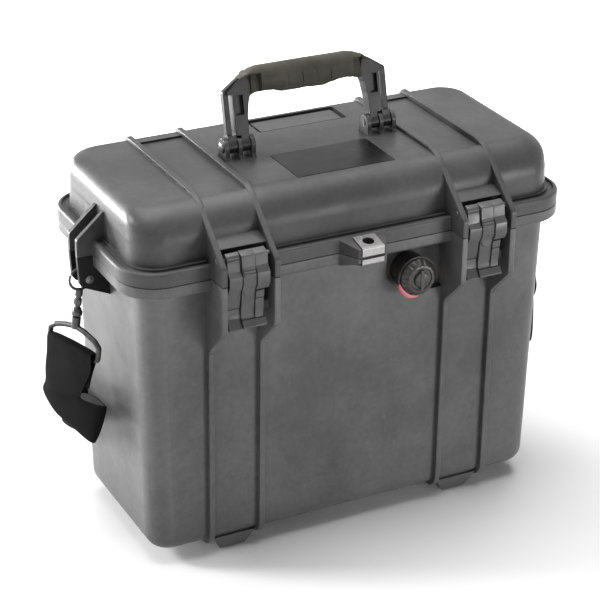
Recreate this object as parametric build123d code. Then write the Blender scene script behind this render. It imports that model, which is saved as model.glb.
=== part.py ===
"""Hard case for a laptop: ribbed shells, two latches, carrying handle and shoulder strap.

Millimetres, +Z up. The front faces -Y, X runs along the front, and the origin is the
centre of the footprint on the floor. One STEP file is written for each sub-part.
"""

import os

from build123d import *

# ---------------------------------------------------------------- driving dimensions
# Rim and shells
RIM_HALF_X = 197.2  # outer edge of the rim
RIM_FRONT_Y = -89.0
RIM_REAR_Y = 95.0
RIM_RADIUS = 33.0
RIM_HEIGHT = 12.0  # each half of the rim
PARTING_Z = 259.3  # plane between the shells
PARTING_GAP = 0.6  # gap between the rims when shut
WALL = 5.0
BASE_TOP_HALF_X = 184.3
BASE_TOP_FRONT_Y = -77.9
BASE_TOP_REAR_Y = 75.6
BASE_TOP_RADIUS = 19.0
BASE_FLOOR_Z = 11.6  # underside of the base wall
BASE_FLOOR_HALF_X = 178.2
BASE_FLOOR_FRONT_Y = -76.0
BASE_FLOOR_REAR_Y = 74.2
BASE_FLOOR_RADIUS = 20.0
BASE_FLOOR_ROUND = 14.0
LID_HALF_X = 187.0  # lid wall where it meets the rim
LID_FRONT_Y = -78.0
LID_REAR_Y = 84.7
LID_RADIUS = 23.0
LID_TOP_Z = 314.0
LID_DRAFT = 1.2  # each side, rim to shoulder
LID_ROUND_FRONT = 26.0
LID_ROUND_SIDE = 14.0
LID_ROUND_REAR = 8.0

# Ribs, feet and panels
RIB_THICK = 5.0
PAIR_X = 106.2  # centre of each pair of ribs
RIB_PITCH = 22.4  # rib centre from the pair centre
RIB_FRONT_Y = -107.8
RIB_KNEE_UP_Z = 274.2
RIB_KNEE_LOW_Z = 219.0
RIB_TOP_Z = 317.0
RIB_PROUD = 4.2
RIB_UNDER_Z = 9.0
FOOT_HALF_X = 10.8
FOOT_TOP_HALF_X = 18.5
FOOT_LENGTH = 30.0
FOOT_END_Y = 71.0
PANEL_DEPTH = 1.8

# Seal
LIP_HALF_X = 188.4
LIP_FRONT_Y = -81.2
LIP_REAR_Y = 87.2
LIP_WIDE = 2.4
LIP_TALL = 2.6
GROOVE_WIDE = 6.0
GROOVE_DEEP = 5.0
GASKET_CLEAR = 0.3

# Hinges
HINGE_Y = 103.0
HINGE_BARREL_R = 6.0
HINGE_PIN_R = 2.5
HINGE_END_GAP = 0.4
HINGE_HEAD = 1.0  # pin end beyond the rib
RUN_CLEAR = 0.05  # radial clearance of a turning pin

# Latches
LATCH_LINK_GAP = 1.8  # rib to link
LATCH_LEVER_GAP = 4.7  # lever block to rib
LATCH_STEP = 3.6  # lever below its block, narrower by
LATCH_SPLIT = -7.0  # link on the left of this, lever on the right
LATCH_PART_GAP = 0.4
LATCH_PIN_Y = -97.0
LATCH_PIN_Z = 277.0
LATCH_PIN_R = 2.0
STRIKE_Y = -96.0  # front face of the strike bar
STRIKE_Z0 = 228.0
STRIKE_Z1 = 236.0
CLAW_GAP = 0.3

# Padlock boss
BOSS_REAR_HALF = 21.0
BOSS_FRONT_HALF = 12.0
BOSS_FRONT_Y = -106.0
PADLOCK_Y = -98.0
PADLOCK_R = 4.75
PLATE_HALF = 9.75
PLATE_THICK = 1.2

# Pressure valve
VALVE_X = 50.0
VALVE_DROP = 33.8  # valve centre below the parting plane
VALVE_CAP_R = 16.0
VALVE_NOSE_R = 12.6
VALVE_CAP_LONG = 6.5
VALVE_RING_R = 17.4
VALVE_STEM_R = 6.0
VALVE_FRONT_Y = -98.0
POCKET_DEEP = 6.0
POCKET_X0 = 29.0
POCKET_DROP = 21.0  # lower edge of the pocket below the valve
VALVE_HUB_R = 8.0
VALVE_RING_THICK = 2.0

# Handle
HANDLE_Y = 7.0
HANDLE_Z = 324.0
HANDLE_PIN_R = 2.8
HANDLE_LEAN = 13.5  # degrees towards the hinges as it stands
HANDLE_THICK = 10.0
STRIP_THICK = 5.4  # outer strip of each leg
HANDLE_OUT_X = 73.4
HANDLE_IN_X = 54.1
HANDLE_SHOULDER = 44.0  # height of the leg shoulder above the pin
HANDLE_TOP = 61.0
GRIP_UNDER = 37.0
GRIP_THICK = 22.0
STRIP_WIDE = 4.4
LEG_KINK_X = 60.0
LEG_KINK_H = 51.6
POST_X = 50.2  # grip ends here below the upper strip
LEG_RECESS = 3.4
LEG_RECESS_LOW = 24.0
LUG_R = 7.2
LUG_THICK = 3.6
LUG_IN_X = 51.0
LUG_MID_X = 62.4
LUG_OUT_X = 74.0
LUG_GAP = 0.4
TINE_R = 6.2

# Label and name plate places
LABEL_LONG = 87.0
LABEL_WIDE = 50.0
LABEL_X = 3.7
LABEL_Y = -28.5
FRAME_LONG = 82.0
FRAME_WIDE = 28.0
FRAME_X = 15.2
FRAME_Y = 60.0
FRAME_DEEP = 1.2
FRAME_GROOVE = 3.4  # width of the deeper border
FRAME_GROOVE_DEEP = 3.2

# Strap fittings
FIN_PROUD = 13.0  # plate edge outboard of the rim
FIN_LOW_PROUD = 11.5  # the same at the strap pin
FIN_ROOT = 16.0  # how far a plate runs into the shell
FIN_KNEE_Z = 274.2
FIN_TOP_Z = 295.0
FIN_THICK = 4.0
FIN_Y = 1.0
FIN_PITCH = 8.0
STRAP_PIN_PROUD = 3.6  # pin centre outboard of the rim
STRAP_PIN_Z = 239.5
STRAP_PIN_R = 2.0
HOOK_WIRE_R = 1.15
HOOK_RING_R = 8.95  # centre line of the hook ring
HOOK_CLEAR = 0.4
HOOK_DIP = 4.7  # ring centre outboard of the pin
HOOK_DROP = 2.3  # ring centre below the pin
FITTING_Y = -1.0
FITTING_TILT = 7.4
GATE_FROM = 150.0  # the hook's mouth, in degrees round the ring from +X
GATE_TO = 212.0
GATE_TIP_GAP = 8.0  # short of the nose, so that the gate swings clear
KNUCKLE_R = 1.3
SHANK_LONG = 41.0
SHANK_R = 3.0
LOOP_WIDE = 55.0
LOOP_TALL = 20.5
LOOP_WIRE_R = 2.3
LOOP_TURN = 22.5
WEB_WIDE = 50.0
WEB_THICK = 2.4
WEB_REAR_Y = 109.5
STRAP_FOLD_Z = 144.3

# Foam
FOAM_CLEAR = 0.4
FOAM_WALL = 12.0
FOAM_FLOOR = 20.0
FOAM_TOP_Z = 252.0
LID_FOAM_Z = 266.0

BASE_RIM_Z = PARTING_Z - PARTING_GAP / 2
LID_RIM_Z = PARTING_Z + PARTING_GAP / 2
RIM_LOW_Z = BASE_RIM_Z - RIM_HEIGHT + 2.0
RIM_HIGH_Z = LID_RIM_Z + RIM_HEIGHT - 0.3
FIN_OUT_X = RIM_HALF_X + FIN_PROUD
FIN_LOW_X = RIM_HALF_X + FIN_LOW_PROUD
STRAP_PIN_X = RIM_HALF_X + STRAP_PIN_PROUD
SIDES = {"left": -1, "right": 1}
RIB_XS = [side * PAIR_X + step * RIB_PITCH for side in (-1, 1) for step in (-1, 1)]
BAY_HALF = RIB_PITCH - RIB_THICK / 2  # half the space between the ribs of a pair
VALVE_Z = PARTING_Z - VALVE_DROP
VALVE_RING_Y = VALVE_FRONT_Y + VALVE_CAP_LONG
POCKET_X1 = PAIR_X - RIB_PITCH - RIB_THICK / 2
POCKET_LOW_Z = VALVE_Z - POCKET_DROP
POCKET_FLOOR_Y = BASE_TOP_FRONT_Y + POCKET_DEEP
BACKING_Y = POCKET_FLOOR_Y + WALL
LUG_SPANS = [(x, x + LUG_THICK) for x in (LUG_IN_X, LUG_MID_X, LUG_OUT_X)]
TINE_SPANS = [
    (LUG_IN_X + LUG_THICK + LUG_GAP, LUG_MID_X - LUG_GAP),
    (LUG_MID_X + LUG_THICK + LUG_GAP, LUG_OUT_X - LUG_GAP),
]
GATE_PIVOT = GATE_TO - 5.0
GATE_TIP = GATE_FROM + GATE_TIP_GAP


# ---------------------------------------------------------------- helpers
def outline(points):
    """Closed outline; a point is (a, b) or (a, b, corner radius)."""
    face = Polygon(*[p[:2] for p in points], align=None)
    for p in points:
        if len(p) == 3:
            corner = face.vertices().sort_by_distance((p[0], p[1], 0))[0]
            face = fillet(corner, p[2])
    return face


def yz_plate(points, x0, x1):
    """Outline in (y, z) filled from x0 to x1."""
    low, high = sorted((x0, x1))
    return extrude(Plane.YZ.offset(low) * outline(points), amount=high - low, dir=(1, 0, 0))


def xz_plate(points, y0, y1):
    """Outline in (x, z) filled from y0 to y1."""
    return extrude(Plane.XZ.offset(-y1) * outline(points), amount=y1 - y0, dir=(0, -1, 0))


def xy_plate(points, z0, z1):
    """Outline in (x, y) filled from z0 to z1."""
    return extrude(Plane.XY.offset(z0) * outline(points), amount=z1 - z0, dir=(0, 0, 1))


def block(x0, x1, y0, y1, z0, z1):
    """Box between two corners."""
    middle = Pos((x0 + x1) / 2, (y0 + y1) / 2, (z0 + z1) / 2)
    return middle * Box(abs(x1 - x0), abs(y1 - y0), abs(z1 - z0))


def rod_x(radius, x0, x1, y, z):
    """Cylinder along X."""
    return Pos((x0 + x1) / 2, y, z) * Rot(0, 90, 0) * Cylinder(radius, abs(x1 - x0))


def rod_y(radius, x, y0, y1, z):
    """Cylinder along Y."""
    return Pos(x, (y0 + y1) / 2, z) * Rot(90, 0, 0) * Cylinder(radius, abs(y1 - y0))


def rod_z(radius, x, y, z0, z1):
    """Cylinder along Z."""
    return Pos(x, y, (z0 + z1) / 2) * Cylinder(radius, abs(z1 - z0))


def section(z, half_x, front, rear, radius):
    """Rounded rectangle at height z, from y = front to y = rear."""
    face = RectangleRounded(2 * half_x, rear - front, radius)
    return (Pos(0, (front + rear) / 2, z) * face).face()


def slab(half_x, front, rear, radius, z0, z1):
    """Rounded rectangle filled from z0 to z1."""
    return extrude(section(z0, half_x, front, rear, radius), amount=z1 - z0, dir=(0, 0, 1))


def ring(half_x, front, rear, radius, width, z0, z1):
    """Rounded rectangular ring with this centre line."""
    w = width / 2
    outer = slab(half_x + w, front - w, rear + w, radius + w, z0, z1)
    return outer - slab(half_x - w, front + w, rear - w, radius - w, z0 - 1, z1 + 1)


def mirrored(shape):
    """The same shape on the other side."""
    return mirror(shape, about=Plane.YZ)


# ---------------------------------------------------------------- base shell
def base_body(inset):
    """Tapered base volume, smaller all round by inset and open at the top."""
    low = section(
        BASE_FLOOR_Z + inset,
        BASE_FLOOR_HALF_X - inset,
        BASE_FLOOR_FRONT_Y + inset,
        BASE_FLOOR_REAR_Y - inset,
        BASE_FLOOR_RADIUS - inset,
    )
    top = section(
        BASE_RIM_Z if inset == 0 else BASE_RIM_Z + 5,
        BASE_TOP_HALF_X - inset,
        BASE_TOP_FRONT_Y + inset,
        BASE_TOP_REAR_Y - inset,
        BASE_TOP_RADIUS - inset,
    )
    body = loft([low, top], ruled=True)
    return fillet(body.edges().group_by(Axis.Z)[0], max(BASE_FLOOR_ROUND - inset, 3.0))


def base_rib(x):
    """One base rib: latch plate in front, hinge plate behind, low rib between."""
    front = BASE_TOP_FRONT_Y - RIB_PROUD
    rear = BASE_TOP_REAR_Y + RIB_PROUD
    hinge_low = PARTING_Z - HINGE_BARREL_R * 0.707
    plate = yz_plate(
        [
            (RIB_FRONT_Y, BASE_RIM_Z),
            (RIB_FRONT_Y, RIB_KNEE_LOW_Z, 5.0),
            (front, RIB_KNEE_LOW_Z + RIB_FRONT_Y - front, 6.0),
            (BASE_FLOOR_FRONT_Y - RIB_PROUD, RIB_UNDER_Z, 16.0),
            (BASE_FLOOR_REAR_Y + RIB_PROUD, RIB_UNDER_Z, 16.0),
            (rear, hinge_low - (HINGE_Y - rear) * 1.15, 6.0),
            (HINGE_Y + HINGE_BARREL_R * 0.707, hinge_low),
            (HINGE_Y, PARTING_Z),
            (HINGE_Y, BASE_RIM_Z),
        ],
        x - RIB_THICK / 2,
        x + RIB_THICK / 2,
    )
    edges = plate.edges().filter_by(Axis.X, reverse=True)
    front_edges = edges.filter_by(lambda e: e.center().Y < -60 and e.center().Z < BASE_RIM_Z - 1)
    plate = fillet(front_edges, 0.8)
    return plate + rod_x(HINGE_BARREL_R, x - RIB_THICK / 2, x + RIB_THICK / 2, HINGE_Y, PARTING_Z)


def foot(x, side_y):
    """Foot under the floor, narrower at the ground."""
    low = Pos(x, 0, 0) * Rectangle(2 * FOOT_HALF_X, FOOT_LENGTH - 4)
    top = Pos(x, 0, BASE_FLOOR_Z + 3) * Rectangle(2 * FOOT_TOP_HALF_X, FOOT_LENGTH + 6)
    body = loft([low.face(), top.face()], ruled=True)
    body = fillet(body.edges().group_by(Axis.Z)[0], 1.6)
    return Pos(0, side_y * (FOOT_END_Y - FOOT_LENGTH / 2), 0) * body


def boss(z0, z1):
    """Padlock boss of one shell between z0 and z1."""
    body = xy_plate(
        [
            (-BOSS_REAR_HALF, RIM_FRONT_Y + 4),
            (-BOSS_REAR_HALF, RIM_FRONT_Y),
            (-BOSS_FRONT_HALF, BOSS_FRONT_Y, 2.0),
            (BOSS_FRONT_HALF, BOSS_FRONT_Y, 2.0),
            (BOSS_REAR_HALF, RIM_FRONT_Y),
            (BOSS_REAR_HALF, RIM_FRONT_Y + 4),
        ],
        z0,
        z1,
    )
    side = yz_plate(
        [
            (RIM_FRONT_Y + 5, PARTING_Z + 11.0),
            (RIM_FRONT_Y, PARTING_Z + 11.0),
            (BOSS_FRONT_Y - 0.1, PARTING_Z + 7.6, 1.0),
            (BOSS_FRONT_Y - 0.1, PARTING_Z - 4.5, 1.0),
            (RIM_FRONT_Y, PARTING_Z - 10.8),
            (RIM_FRONT_Y + 5, PARTING_Z - 10.8),
        ],
        -30,
        30,
    )
    return (body & side) - rod_z(PADLOCK_R, 0, PADLOCK_Y, z0 - 9, z1 + 9)


def base_fin(y, side):
    """Plate beside the strap pin, under the rim."""
    root = BASE_TOP_HALF_X - FIN_ROOT
    pts = [
        (root, BASE_RIM_Z),
        (FIN_OUT_X, BASE_RIM_Z),
        (FIN_LOW_X, STRAP_PIN_Z - 3.5, 2.0),
        (FIN_LOW_X - 2.5, STRAP_PIN_Z - 6.5, 2.0),
        (BASE_TOP_HALF_X - 0.3, STRAP_PIN_Z - 16.5),
        (root, STRAP_PIN_Z - 16.5),
    ]
    plate = xz_plate([(side * p[0],) + p[1:] for p in pts], y - FIN_THICK / 2, y + FIN_THICK / 2)
    return plate - rod_y(STRAP_PIN_R, side * STRAP_PIN_X, y - 5, y + 5, STRAP_PIN_Z)


def lid_fin(y, side):
    """Plate above the rim, in line with the base fin."""
    root = LID_HALF_X - FIN_ROOT
    pts = [
        (root, LID_RIM_Z),
        (FIN_OUT_X, LID_RIM_Z),
        (FIN_OUT_X, FIN_KNEE_Z, 2.5),
        (LID_HALF_X, FIN_TOP_Z, 1.5),
        (root, FIN_TOP_Z),
    ]
    return xz_plate([(side * p[0],) + p[1:] for p in pts], y - FIN_THICK / 2, y + FIN_THICK / 2)


def base_rim_slab():
    """Rim of the base, before the tub is taken out of it."""
    rim = slab(RIM_HALF_X, RIM_FRONT_Y, RIM_REAR_Y, RIM_RADIUS, RIM_LOW_Z, BASE_RIM_Z)
    return fillet(rim.edges().group_by(Axis.Z)[0], 2.5)


def make_base_shell():
    """Tub of the base, with the valve's pocket in its front wall."""
    backing = block(
        POCKET_X0 - 5,
        PAIR_X - RIB_PITCH,
        BASE_TOP_FRONT_Y + 1,
        BACKING_Y,
        POCKET_LOW_Z - 5.5,
        BASE_RIM_Z,
    )
    shell = base_body(0) - (base_body(WALL) - backing)
    shell -= xz_plate(
        [
            (POCKET_X0, RIM_LOW_Z),
            (POCKET_X0, VALVE_Z - 2.6, 2.0),
            (VALVE_X - 5.0, POCKET_LOW_Z, 3.0),
            (POCKET_X1, POCKET_LOW_Z),
            (POCKET_X1, RIM_LOW_Z),
        ],
        BASE_TOP_FRONT_Y - 2,
        POCKET_FLOOR_Y,
    )
    return shell - rod_y(VALVE_STEM_R, VALVE_X, POCKET_FLOOR_Y - 1, BACKING_Y + 1, VALVE_Z)


def make_base_rim():
    """Rim round the tub, with the seal lip and the lower half of the padlock boss."""
    rim = base_rim_slab() + boss(RIM_LOW_Z, BASE_RIM_Z)
    rim += ring(
        LIP_HALF_X,
        LIP_FRONT_Y,
        LIP_REAR_Y,
        RIM_RADIUS - 8,
        LIP_WIDE,
        BASE_RIM_Z - 0.5,
        BASE_RIM_Z + LIP_TALL,
    )
    return rim - base_body(0)


def make_base_ribs(side):
    """Pair of ribs that carry a latch and a hinge."""
    filled = base_body(0) + base_rim_slab()
    ribs = Part()
    for step in (-1, 1):
        x = side * PAIR_X + step * RIB_PITCH
        rib = base_rib(x) - filled
        ribs += rib - rod_x(HINGE_PIN_R, x - RIB_THICK, x + RIB_THICK, HINGE_Y, PARTING_Z)
    return ribs


def make_base_fins(side):
    """Pair of plates that carry a strap pin."""
    filled = base_body(0) + base_rim_slab()
    fins = Part()
    for step in (-1, 1):
        fins += base_fin(FIN_Y + step * FIN_PITCH, side) - filled
    return fins


def make_base_feet():
    """Four feet under the floor."""
    feet = Part()
    for side in SIDES.values():
        for step in (-1, 1):
            feet += foot(side * PAIR_X, step) - base_body(0)
    return feet


def make_latch_strike(side):
    """Bar between two ribs that the latch hooks under."""
    bar = block(
        side * PAIR_X - BAY_HALF,
        side * PAIR_X + BAY_HALF,
        STRIKE_Y,
        BASE_TOP_FRONT_Y + 2,
        STRIKE_Z0,
        STRIKE_Z1,
    )
    return bar - base_body(0)


# ---------------------------------------------------------------- lid shell
def lid_body(inset):
    """Domed lid volume, smaller all round by inset and open below."""
    top_z = LID_TOP_Z - inset
    front_r = LID_ROUND_FRONT - inset
    side_r = LID_ROUND_SIDE - inset / 2
    rear_r = LID_ROUND_REAR - inset / 2
    levels = [0.0, 0.25, 0.46, 0.64, 0.78, 0.89, 0.96, 1.0]

    def pull(z, radius):
        low = top_z - radius
        if z <= low:
            return 0.0
        return radius - max(radius**2 - (z - low) ** 2, 0.0) ** 0.5

    def shoulder(z):
        share = (z - RIM_HIGH_Z) / (LID_TOP_Z - RIM_HIGH_Z)
        draft = LID_DRAFT * share + inset
        side = LID_HALF_X - draft - pull(z, side_r)
        front = LID_FRONT_Y + draft + pull(z, front_r)
        rear = LID_REAR_Y - draft - pull(z, rear_r)
        radius = max(LID_RADIUS - inset - 0.25 * pull(z, front_r), 6.0)
        return section(z, side, front, rear, radius)

    start = LID_RIM_Z if inset == 0 else LID_RIM_Z - 5
    wall = loft([shoulder(start), shoulder(top_z - front_r)], ruled=True)
    dome = loft([shoulder(top_z - front_r + front_r * t) for t in levels])
    return wall + dome


def lid_rib(x):
    """One lid rib, from the rim over the top to the hinge side."""
    run = (RIB_TOP_Z - RIB_KNEE_UP_Z) / 0.84
    plate = yz_plate(
        [
            (RIB_FRONT_Y, LID_RIM_Z),
            (RIB_FRONT_Y, RIB_KNEE_UP_Z, 6.0),
            (RIB_FRONT_Y + run, RIB_TOP_Z, 35.0),
            (LID_REAR_Y - 6.0, RIB_TOP_Z, 3.0),
            (LID_REAR_Y + 3.0, 305.0, 5.0),
            (LID_REAR_Y + 3.0, LID_RIM_Z + 4),
            (60.0, LID_RIM_Z + 4),
            (60.0, LID_RIM_Z),
        ],
        x - RIB_THICK / 2,
        x + RIB_THICK / 2,
    )
    sides = plate.edges().filter_by(Axis.X, reverse=True)
    plate = fillet(sides.filter_by(lambda e: e.center().Z > LID_RIM_Z + 8), 0.8)
    return plate


def handle_lug(x0, x1):
    """Rounded lug that holds the handle pin."""
    lug = yz_plate(
        [
            (HANDLE_Y - LUG_R - 2.5, LID_TOP_Z - 1.5),
            (HANDLE_Y - LUG_R, LID_TOP_Z + 3.0, 4.0),
            (HANDLE_Y - LUG_R, HANDLE_Z),
            (HANDLE_Y + LUG_R, HANDLE_Z),
            (HANDLE_Y + LUG_R, LID_TOP_Z + 3.0, 4.0),
            (HANDLE_Y + LUG_R + 2.5, LID_TOP_Z - 1.5),
        ],
        x0,
        x1,
    )
    return lug + rod_x(LUG_R, x0, x1, HANDLE_Y, HANDLE_Z)


def make_lid_shell():
    rim = slab(RIM_HALF_X, RIM_FRONT_Y, RIM_REAR_Y, RIM_RADIUS, LID_RIM_Z, RIM_HIGH_Z)
    rim = fillet(rim.edges().group_by(Axis.Z)[-1], 2.4)
    rim -= ring(
        (RIM_HALF_X + LID_HALF_X) / 2 - 1.0,
        (RIM_FRONT_Y + LID_FRONT_Y) / 2 + 0.6,
        (RIM_REAR_Y + LID_REAR_Y) / 2 - 0.6,
        RIM_RADIUS - 6,
        5.0,
        RIM_HIGH_Z - 2.0,
        RIM_HIGH_Z + 1,
    )
    shell = rim + lid_body(0)
    for x in RIB_XS:
        shell += lid_rib(x)
    for side in SIDES.values():
        for step in (-1, 1):
            shell += lid_fin(FIN_Y + step * FIN_PITCH, side)
        cover = yz_plate(
            [(-70, RIM_HIGH_Z - 2), (-92.5, RIM_HIGH_Z - 2), (-92.5, 283.6), (-70, 290.0)],
            side * PAIR_X - RIB_PITCH,
            side * PAIR_X + RIB_PITCH,
        )
        cover -= rod_x(
            8.7, side * PAIR_X - RIB_PITCH, side * PAIR_X + RIB_PITCH, LATCH_PIN_Y, LATCH_PIN_Z
        )
        shell += cover
        knuckle_x0 = side * PAIR_X - BAY_HALF + HINGE_END_GAP
        knuckle_x1 = side * PAIR_X + BAY_HALF - HINGE_END_GAP
        shell += yz_plate(
            [
                (80.0, RIM_HIGH_Z),
                (80.0, LID_RIM_Z + 1.2),
                (HINGE_Y - HINGE_BARREL_R + 0.6, LID_RIM_Z + 1.2),
                (HINGE_Y, PARTING_Z),
                (HINGE_Y + 1.0, PARTING_Z + HINGE_BARREL_R - 0.1),
                (RIM_REAR_Y - 1.0, RIM_HIGH_Z - 1.0),
            ],
            knuckle_x0,
            knuckle_x1,
        )
        shell += rod_x(HINGE_BARREL_R, knuckle_x0, knuckle_x1, HINGE_Y, PARTING_Z)
    shell += boss(LID_RIM_Z, RIM_HIGH_Z)
    shell -= lid_body(WALL)
    for side in SIDES.values():
        shell -= block(
            side * PAIR_X - BAY_HALF,
            side * PAIR_X + BAY_HALF,
            -55.0,
            68.0,
            LID_TOP_Z - PANEL_DEPTH,
            LID_TOP_Z + 2,
        )
        for x0, x1 in LUG_SPANS:
            shell += handle_lug(side * x0, side * x1)
    place = Pos(FRAME_X, FRAME_Y)
    frame = RectangleRounded(FRAME_LONG, FRAME_WIDE, 2.0)
    plate = Rectangle(FRAME_LONG - 2 * FRAME_GROOVE, FRAME_WIDE - 2 * FRAME_GROOVE)
    shell -= extrude(Plane.XY.offset(LID_TOP_Z - FRAME_DEEP) * place * frame, amount=4)
    border = Plane.XY.offset(LID_TOP_Z - FRAME_GROOVE_DEEP) * place * (frame - plate)
    shell -= extrude(border, amount=FRAME_GROOVE_DEEP)
    label = RectangleRounded(LABEL_LONG + 0.6, LABEL_WIDE + 0.6, 1.5)
    shell -= extrude(Plane.XY.offset(LID_TOP_Z - 0.6) * Pos(LABEL_X, LABEL_Y) * label, amount=3)
    shell -= ring(
        LIP_HALF_X,
        LIP_FRONT_Y,
        LIP_REAR_Y,
        RIM_RADIUS - 8,
        GROOVE_WIDE,
        LID_RIM_Z - 1,
        LID_RIM_Z + GROOVE_DEEP,
    )
    for side in SIDES.values():
        pair = side * PAIR_X
        reach = RIB_PITCH + RIB_THICK
        shell -= rod_x(HINGE_PIN_R + RUN_CLEAR, pair - BAY_HALF, pair + BAY_HALF, HINGE_Y, PARTING_Z)
        shell -= rod_x(
            LATCH_PIN_R + RUN_CLEAR, pair - reach, pair + reach, LATCH_PIN_Y, LATCH_PIN_Z
        )
        lugs = (side * (LUG_IN_X - 2), side * (LUG_OUT_X + LUG_THICK + 2))
        shell -= rod_x(HANDLE_PIN_R, *lugs, HANDLE_Y, HANDLE_Z)
    return shell


# ---------------------------------------------------------------- seal and foam
def make_gasket():
    top = LID_RIM_Z + GROOVE_DEEP
    return ring(
        LIP_HALF_X,
        LIP_FRONT_Y,
        LIP_REAR_Y,
        RIM_RADIUS - 8,
        GROOVE_WIDE - 2 * GASKET_CLEAR,
        BASE_RIM_Z + LIP_TALL + GASKET_CLEAR,
        top,
    )


def make_base_foam():
    body = base_body(WALL + FOAM_CLEAR)
    body -= block(-300, 300, -200, 200, FOAM_TOP_Z, 400)
    floor = BASE_FLOOR_Z + WALL + FOAM_FLOOR
    skin = WALL + FOAM_WALL
    body -= slab(
        BASE_FLOOR_HALF_X - skin,
        BASE_FLOOR_FRONT_Y + skin,
        BASE_FLOOR_REAR_Y - skin,
        8.0,
        floor,
        400,
    )
    body -= block(
        POCKET_X0 - 6, PAIR_X - RIB_PITCH + 1, -80, BACKING_Y + 0.5, POCKET_LOW_Z - 6.5, 300
    )
    body -= rod_y(13.0, VALVE_X, -80, -20, VALVE_Z)
    return body


def make_lid_foam():
    body = lid_body(WALL + FOAM_CLEAR)
    return body - block(-300, 300, -200, 200, 200, LID_FOAM_Z)


# ---------------------------------------------------------------- hinges and latches
def make_hinge_pin(side):
    half = RIB_PITCH + RIB_THICK / 2 + HINGE_HEAD
    pin = rod_x(HINGE_PIN_R, side * PAIR_X - half, side * PAIR_X + half, HINGE_Y, PARTING_Z)
    return fillet(pin.edges(), 0.5)


def make_latch_link(side):
    x0 = side * PAIR_X - BAY_HALF + LATCH_LINK_GAP
    x1 = side * PAIR_X + LATCH_SPLIT - LATCH_PART_GAP / 2
    body = yz_plate(
        [
            (-97.8, 283.0, 3.0),
            (-101.8, 280.8, 2.0),
            (-102.9, 274.0),
            (-104.0, 268.2, 1.0),
            (-107.6, 265.2, 1.5),
            (-106.8, 256.6, 1.5),
            (-103.4, 250.6, 2.0),
            (-102.8, 243.4),
            (-100.6, 233.0),
            (-101.4, 228.0, 2.0),
            (-104.6, 223.6, 2.0),
            (-106.6, 220.2, 0.8),
            (-104.0, 219.4),
            (-99.2, 223.4, 2.0),
            (-99.2, 226.5),
            (STRIKE_Y - CLAW_GAP, 229.0),
            (STRIKE_Y - CLAW_GAP, 235.5),
            (-98.5, 239.0),
            (-98.5, 258.0),
            (-94.2, 268.5, 2.0),
            (-92.2, 274.0, 2.0),
            (-91.6, 279.0, 2.5),
        ],
        x0,
        x1,
    )
    return body - rod_x(LATCH_PIN_R, x0 - 1, x1 + 1, LATCH_PIN_Y, LATCH_PIN_Z)


def make_latch_lever(side):
    x0 = side * PAIR_X + LATCH_SPLIT + LATCH_PART_GAP / 2
    x1 = side * PAIR_X + BAY_HALF - LATCH_LEVER_GAP
    body = yz_plate(
        [
            (-97.0, 283.3, 3.0),
            (-104.3, 281.2, 2.0),
            (-105.2, 271.6, 1.5),
            (-109.3, 267.6, 1.5),
            (-109.5, 257.7, 1.5),
            (-106.4, 251.7, 2.0),
            (-105.2, 239.6),
            (-104.2, 231.6, 3.0),
            (-104.8, 226.6, 2.0),
            (-108.2, 221.6, 0.8),
            (-106.0, 219.8, 0.8),
            (-100.6, 224.6, 2.0),
            (-99.8, 233.0),
            (-98.6, 258.0),
            (-94.2, 268.5, 2.0),
            (-92.2, 274.0, 2.0),
            (-91.6, 279.0, 2.5),
        ],
        x0,
        x1,
    )
    body -= block(x1 - LATCH_STEP, x1 + 1, -120, -80, 227.0, 256.0)
    return body - rod_x(LATCH_PIN_R + RUN_CLEAR, x0 - 1, x1 + 1, LATCH_PIN_Y, LATCH_PIN_Z)


def make_latch_pin(side):
    half = RIB_PITCH + RIB_THICK / 2 + 0.8
    pin = rod_x(LATCH_PIN_R, side * PAIR_X - half, side * PAIR_X + half, LATCH_PIN_Y, LATCH_PIN_Z)
    return fillet(pin.edges(), 0.4)


def make_padlock_plate(upper):
    """Folded plate over the front of the padlock boss."""
    t = PLATE_THICK
    if upper:
        pts = [
            (RIM_FRONT_Y - 1.0, PARTING_Z + 10.8),
            (RIM_FRONT_Y - 1.0, PARTING_Z + 10.8 + t),
            (BOSS_FRONT_Y - 0.1 - t, PARTING_Z + 7.6 + t, 1.2),
            (BOSS_FRONT_Y - 0.1 - t, PARTING_Z + 1.9),
            (BOSS_FRONT_Y - 0.1, PARTING_Z + 1.9),
            (BOSS_FRONT_Y - 0.1, PARTING_Z + 7.6),
        ]
    else:
        pts = [
            (RIM_FRONT_Y - 1.0, PARTING_Z - 10.43),
            (RIM_FRONT_Y - 1.0, PARTING_Z - 10.43 - t),
            (BOSS_FRONT_Y - 0.1 - t, PARTING_Z - 4.5 - t, 1.2),
            (BOSS_FRONT_Y - 0.1 - t, PARTING_Z - 0.8),
            (BOSS_FRONT_Y - 0.1, PARTING_Z - 0.8),
            (BOSS_FRONT_Y - 0.1, PARTING_Z - 4.5),
        ]
    plate = yz_plate(pts, -PLATE_HALF, PLATE_HALF)
    return plate - rod_z(PADLOCK_R, 0, PADLOCK_Y, 230, 290)


# ---------------------------------------------------------------- valve
def make_valve_body():
    flange = VALVE_RING_Y + VALVE_RING_THICK
    body = rod_y(VALVE_RING_R - 2.4, VALVE_X, flange, POCKET_FLOOR_Y, VALVE_Z)
    body += rod_y(VALVE_STEM_R, VALVE_X, POCKET_FLOOR_Y - 1, BACKING_Y + 7.0, VALVE_Z)
    body += rod_y(VALVE_HUB_R, VALVE_X, VALVE_RING_Y - 3.0, flange + 0.5, VALVE_Z)
    return body - rod_y(2.0, VALVE_X, -120, 0, VALVE_Z)


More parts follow.
